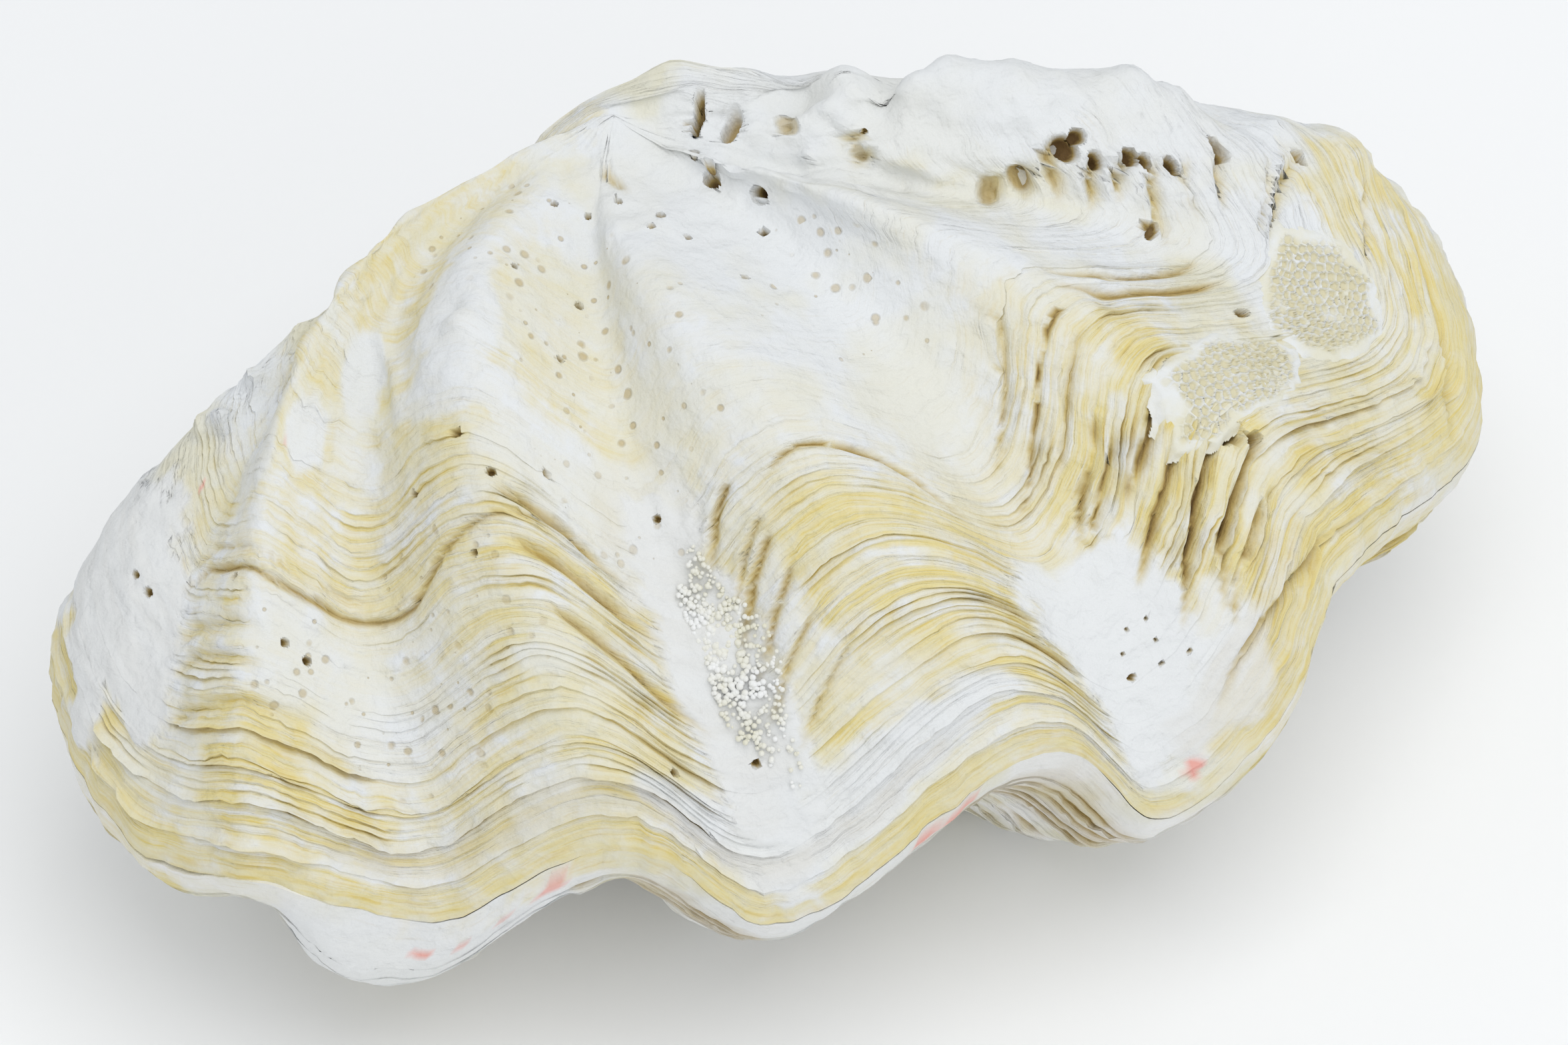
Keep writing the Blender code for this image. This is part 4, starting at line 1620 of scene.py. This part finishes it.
UPPER_BORINGS = tuple(Boring(*row) for row in (
    (15.04, 0.115, 1.0, 4.5, 4.2, 0.9, (13.52, 0.084)), (11.38, 0.112, 0.9, 2.5, 2.0, 0.7, (13.52, 0.084)),
    (14.3, 0.14, 1.9, 3.6, 2.2, 0.45, (15.24, 0.172)), (9.54, 0.144, 1.7, 5.0), (9.9, 0.228, 2.0, 5.0),
    (9.18, 0.228, 1.0, 4.0), (13.86, 0.195, 2.2, 1.6, 1.6, 0.25), (13.4, 0.262, 0.7, 2.0),
    (13.0, 0.24, 1.6, 1.2, 1.5, 0.25), (12.28, 0.348, 2.1, 2.2, 1.7, 0.35),
    (12.56, 0.388, 2.1, 2.6, 1.7, 0.45), (13.14, 0.472, 2.4, 5.5, 1.3), (13.3, 0.496, 1.7, 5.0),
    (13.04, 0.50, 1.3, 4.5, 1.6), (13.16, 0.548, 1.5, 4.5, 1.5), (13.12, 0.564, 1.2, 4.0, 1.8),
    (13.14, 0.596, 1.3, 4.5, 1.8), (13.42, 0.676, 1.8, 4.5, 1.8), (13.58, 0.796, 1.3, 4.0, 1.8),
    (12.18, 0.532, 1.2, 3.0, 2.0), (11.7, 0.724, 1.1, 3.0, 1.6), (11.12, 0.796, 1.7, 4.5, 2.4),
    (10.82, 0.824, 1.3, 4.5, 2.4), (10.94, 0.88, 1.5, 4.5, 2.0), (11.02, 0.896, 1.5, 4.5, 1.4),
    (8.42, 0.164, 0.9, 2.5), (8.28, 0.184, 0.8, 2.5), (8.5, 0.208, 0.8, 2.5), (6.42, 0.14, 0.8, 2.5),
    (8.06, 0.124, 0.8, 2.5), (6.94, 0.132, 0.7, 2.5), (8.62, 0.296, 0.7, 2.5), (6.86, 0.272, 0.9, 3.0),
    (6.3, 0.28, 0.7, 2.5), (6.66, 0.384, 0.7, 2.5), (6.02, 0.656, 0.9, 3.0), (6.42, 0.6, 0.8, 2.5),
    (7.08, 0.584, 0.8, 2.5), (5.42, 0.64, 0.8, 2.5), (5.8, 0.604, 0.8, 3.0, 2.0), (3.72, 0.812, 0.9, 3.0),
    (4.02, 0.82, 0.9, 3.0), (5.72, 0.748, 0.8, 2.5), (2.68, 0.764, 0.8, 2.5), (1.32, 0.828, 0.9, 2.5),
    (1.1, 0.832, 0.8, 2.5), (7.06, 0.88, 0.9, 3.0), (6.54, 0.92, 0.8, 2.5), (9.14, 0.896, 0.8, 2.5),
    (9.38, 0.904, 0.45, 1.5, 1.0, 0.6), (9.42, 0.884, 0.45, 1.5, 1.0, 0.6),
    (9.28, 0.856, 0.45, 1.5, 1.0, 0.6), (9.44, 0.864, 0.45, 1.5, 1.0, 0.6),
    (9.16, 0.872, 0.45, 1.5, 1.0, 0.6), (9.58, 0.916, 0.45, 1.5, 1.0, 0.6),
))


def upper_valve() -> Valve:
    """The ribbed valve that fills the photo.

    Returns:
        The valve, not yet built.
    """
    plates = Plates(
        zones=((0.0, 0.2, 8), (0.2, 0.35, 7), (0.35, 0.6, 11), (0.6, 0.8, 16), (0.8, 0.93, 14),
               (0.93, 1.0, 13)),
        main=((0.36, 0.5), (0.53, 0.6), (0.64, 0.8), (0.70, 0.9), (0.78, 0.9), (0.86, 1.2),
              (0.905, 1.7), (0.935, 1.2), (0.96, 1.9), (0.985, 1.5)),
        stand=(0.14, 0.42),
        seed=5,
    )
    return Valve(
        side=Side.UPPER,
        plates=plates,
        finish=ShellFinish("upper_shell_layers"),
        slot="upper_shell",
        worn=(
            Zone(15.0, 0.30, 2.2, 0.24), Zone(13.0, 0.2, 2.6, 0.13, 0.8), Zone(17.5, 0.1, 3.0, 0.12, 0.7),
            Zone(13.9, 0.55, 0.8, 0.25, 0.8), Zone(0.3, 0.62, 0.8, 0.12, 0.8),
            Zone(8.0, 0.06, 5.0, 0.14, 0.7), Zone(5.9, 0.43, 0.5, 0.08, 0.6),
        ),
        calm=(
            Zone(8.0, 0.10, 6.0, 0.30), Zone(14.6, 0.40, 1.3, 0.32), Zone(8.6, 0.38, 1.6, 0.28, 0.62),
            Zone(6.8, 0.50, 0.6, 0.2, 0.8), Zone(4.0, 0.82, 1.1, 0.06, 0.8),
            Zone(3.0, 0.62, 1.5, 0.10, 0.6), Zone(12.7, 0.965, 1.0, 0.035, 0.9),
            Zone(5.5, 0.35, 1.2, 0.2, 0.6),
        ),
        strong=(
            Zone(10.2, 0.78, 1.1, 0.20, 0.75), Zone(8.1, 0.86, 0.7, 0.13, 0.25),
            Zone(11.6, 0.95, 1.0, 0.06, 0.6), Zone(3.0, 0.95, 2.2, 0.05, 0.8),
            Zone(6.2, 0.86, 0.6, 0.12, 0.3), Zone(13.1, 0.80, 0.5, 0.14, 0.3),
        ),
        crusts=(
            Zone(0.9, 0.86, 1.05, 0.105, ragged=0.45, soft=0.12), Zone(7.05, 0.76, 0.28, 0.24, soft=0.2),
            Zone(9.15, 0.87, 0.60, 0.12, soft=0.25), Zone(9.75, 0.945, 0.42, 0.045, 0.8, soft=0.3),
            Zone(21.9, 0.9, 0.6, 0.08, soft=0.15), Zone(14.2, 0.42, 0.8, 0.12, 0.8),
        ),
        whites=(
            Zone(7.1, 0.955, 0.9, 0.03, 0.9), Zone(9.7, 0.96, 0.55, 0.04, 0.9),
            Zone(4.7, 0.45, 0.35, 0.06, 0.9), Zone(5.85, 0.38, 0.4, 0.12, 0.8),
            Zone(3.9, 0.57, 0.5, 0.05, 0.9), Zone(2.6, 0.62, 0.7, 0.05, 0.6),
            Zone(5.8, 0.52, 0.5, 0.05, 0.6), Zone(9.5, 0.45, 2.6, 0.24, 0.45, soft=0.8),
            Zone(14.8, 0.4, 2.4, 0.4, 0.8), Zone(11.0, 0.12, 5.0, 0.22, 0.8, soft=0.8),
            Zone(3.9, 0.82, 0.9, 0.06, 0.6, soft=0.8), Zone(4.6, 0.86, 0.8, 0.05, 0.6, soft=0.8),
            Zone(12.8, 0.55, 0.8, 0.14, 0.6), Zone(6.7, 0.6, 0.7, 0.12, 0.6),
        ),
        ribbons=(
            Zone(5.4, 0.997, 4.4, 0.010), Zone(12.5, 0.968, 1.15, 0.034), Zone(1.0, 0.99, 1.5, 0.020),
            Zone(10.3, 0.985, 0.9, 0.024),
        ),
        pitted=(
            Zone(7.2, 0.36, 0.9, 0.20), Zone(9.4, 0.38, 0.9, 0.12, 0.8), Zone(4.9, 0.86, 0.6, 0.07, 0.9),
            Zone(5.9, 0.22, 1.5, 0.12, 0.8), Zone(6.9, 0.6, 0.5, 0.12, 0.5),
            Zone(3.9, 0.83, 0.9, 0.07, 0.8), Zone(5.4, 0.8, 0.6, 0.12, 0.6),
        ),
        yellows=(
            Zone(8.1, 0.84, 0.9, 0.19, 0.95, soft=0.7), Zone(8.2, 0.68, 0.6, 0.10, 0.5),
            Zone(12.4, 0.28, 0.5, 0.03, 0.8), Zone(6.0, 0.84, 0.9, 0.18, 0.7, soft=0.7),
            Zone(3.4, 0.93, 2.2, 0.07, 0.8, soft=0.7), Zone(10.0, 0.78, 1.4, 0.24, 0.9, soft=0.7),
            Zone(12.0, 0.93, 1.9, 0.09, 0.85, soft=0.7), Zone(1.6, 0.97, 2.0, 0.035, 1.0),
            Zone(10.6, 0.99, 1.2, 0.03, 1.0), Zone(5.6, 0.997, 4.6, 0.012, 1.0),
            Zone(4.8, 0.6, 3.2, 0.6, 0.6, soft=0.8), Zone(20.0, 0.4, 1.6, 0.5, 0.4),
            Zone(13.3, 0.86, 0.6, 0.10, 0.7), Zone(8.2, 0.70, 0.5, 0.1, 0.5),
        ),
        spots=(
            Zone(9.3, 0.985, 0.06, 0.006), Zone(3.54, 0.596, 0.03, 0.008, 0.6),
            Zone(1.2, 0.704, 0.03, 0.008, 0.8),
        ),
        # Painted shade along the join of the valves, on the crust at the left end and in the grain-filled
        # furrow.
        painted_shade=(
            Zone(5.6, 0.972, 2.0, 0.014, 0.22), Zone(10.0, 0.965, 0.8, 0.03, 0.2),
            Zone(0.9, 0.86, 1.05, 0.12, 0.1), Zone(7.0, 0.70, 0.35, 0.25, 0.12),
        ),
        rounded=(
            Zone(3.0, 0.75, 1.1, 0.5, soft=0.8), Zone(10.2, 0.66, 0.9, 0.22, soft=0.8),
            Zone(6.1, 0.6, 0.7, 0.4, 0.5, soft=0.8), Zone(8.1, 0.7, 0.6, 0.3, 0.4, soft=0.8),
        ),
        lumps=UPPER_LUMPS,
        furrows=UPPER_FURROWS,
        borings=UPPER_BORINGS,
        seed=3,
    )


def lower_valve() -> Valve:
    """The mate of the ribbed valve, white with pink spots near the edge.

    Returns:
        The valve, not yet built.
    """
    plates = Plates(
        zones=((0.0, 0.5, 7), (0.5, 0.8, 9), (0.8, 1.0, 12)),
        main=((0.55, 1.4), (0.75, 1.8), (0.90, 1.6), (0.965, 1.4)),
        stand=(0.4, 0.9),
        seed=6,
    )
    return Valve(
        side=Side.LOWER,
        plates=plates,
        finish=ShellFinish("lower_shell_layers", chalk=(0.84, 0.83, 0.80)),
        slot="lower_shell",
        front_step=1.6,
        back_step=4.0,
        calm=(Zone(4.6, 0.94, 1.2, 0.06, 0.9),),
        whites=(
            Zone(4.6, 0.94, 1.4, 0.07, 0.9), Zone(7.2, 0.96, 1.0, 0.05, 0.7),
        ),
        yellows=(
            Zone(5.2, 0.995, 1.4, 0.012, 1.0), Zone(10.8, 0.98, 1.2, 0.03, 0.9),
            Zone(13.2, 0.97, 1.4, 0.05, 1.0), Zone(1.0, 0.98, 1.2, 0.04, 0.8),
        ),
        spots=(
            Zone(4.86, 0.982, 0.09, 0.005), Zone(5.14, 0.982, 0.045, 0.0035, 0.6),
            Zone(5.36, 0.984, 0.05, 0.004, 0.5), Zone(5.62, 0.985, 0.09, 0.005, 0.8),
            Zone(7.66, 0.99, 0.06, 0.006), Zone(7.54, 0.985, 0.05, 0.006),
        ),
        # Painted shade under the arches of the upper valve's edge.
        painted_shade=(
            Zone(6.5, 0.93, 0.5, 0.05, 0.45), Zone(8.3, 0.93, 0.8, 0.06, 0.4),
            Zone(5.0, 0.86, 1.6, 0.03, 0.4),
        ),
        borings=(Boring(4.97, 0.991, 0.9, 2.5),),
        seed=9,
    )


def write_sizes() -> None:
    """Updates the view layer."""
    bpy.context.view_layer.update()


def main() -> None:
    """Builds the shell and its surroundings."""
    logging.basicConfig(level=logging.INFO, format="%(message)s")
    upper_valve().build()
    lower_valve().build()
    crust = CrustFinish("coral_lime")
    CoralCrust("coral_crust_right", ((12.6, 0.708), (12.74, 0.784), (12.52, 0.816), (12.12, 0.828),
                                     (11.86, 0.832), (11.7, 0.808), (11.76, 0.755), (12.02, 0.69)),
               crust, cell=2.0, seed=21).build()
    CoralCrust("coral_crust_rib", ((11.36, 0.772), (11.6, 0.775), (11.62, 0.812), (11.5, 0.855),
                                   (11.2, 0.872), (10.7, 0.858), (10.55, 0.838), (10.86, 0.80)),
               crust, cell=2.2, stand=0.8, spare=1.2, seed=22).build()
    lime = CrustFinish("lime_grains", wall=(0.86, 0.86, 0.85))
    Granules("furrow_grains", Zone(7.15, 0.765, 0.17, 0.125), lime).build()
    Studio().build()
    write_sizes()


if __name__ == "__main__":
    main()
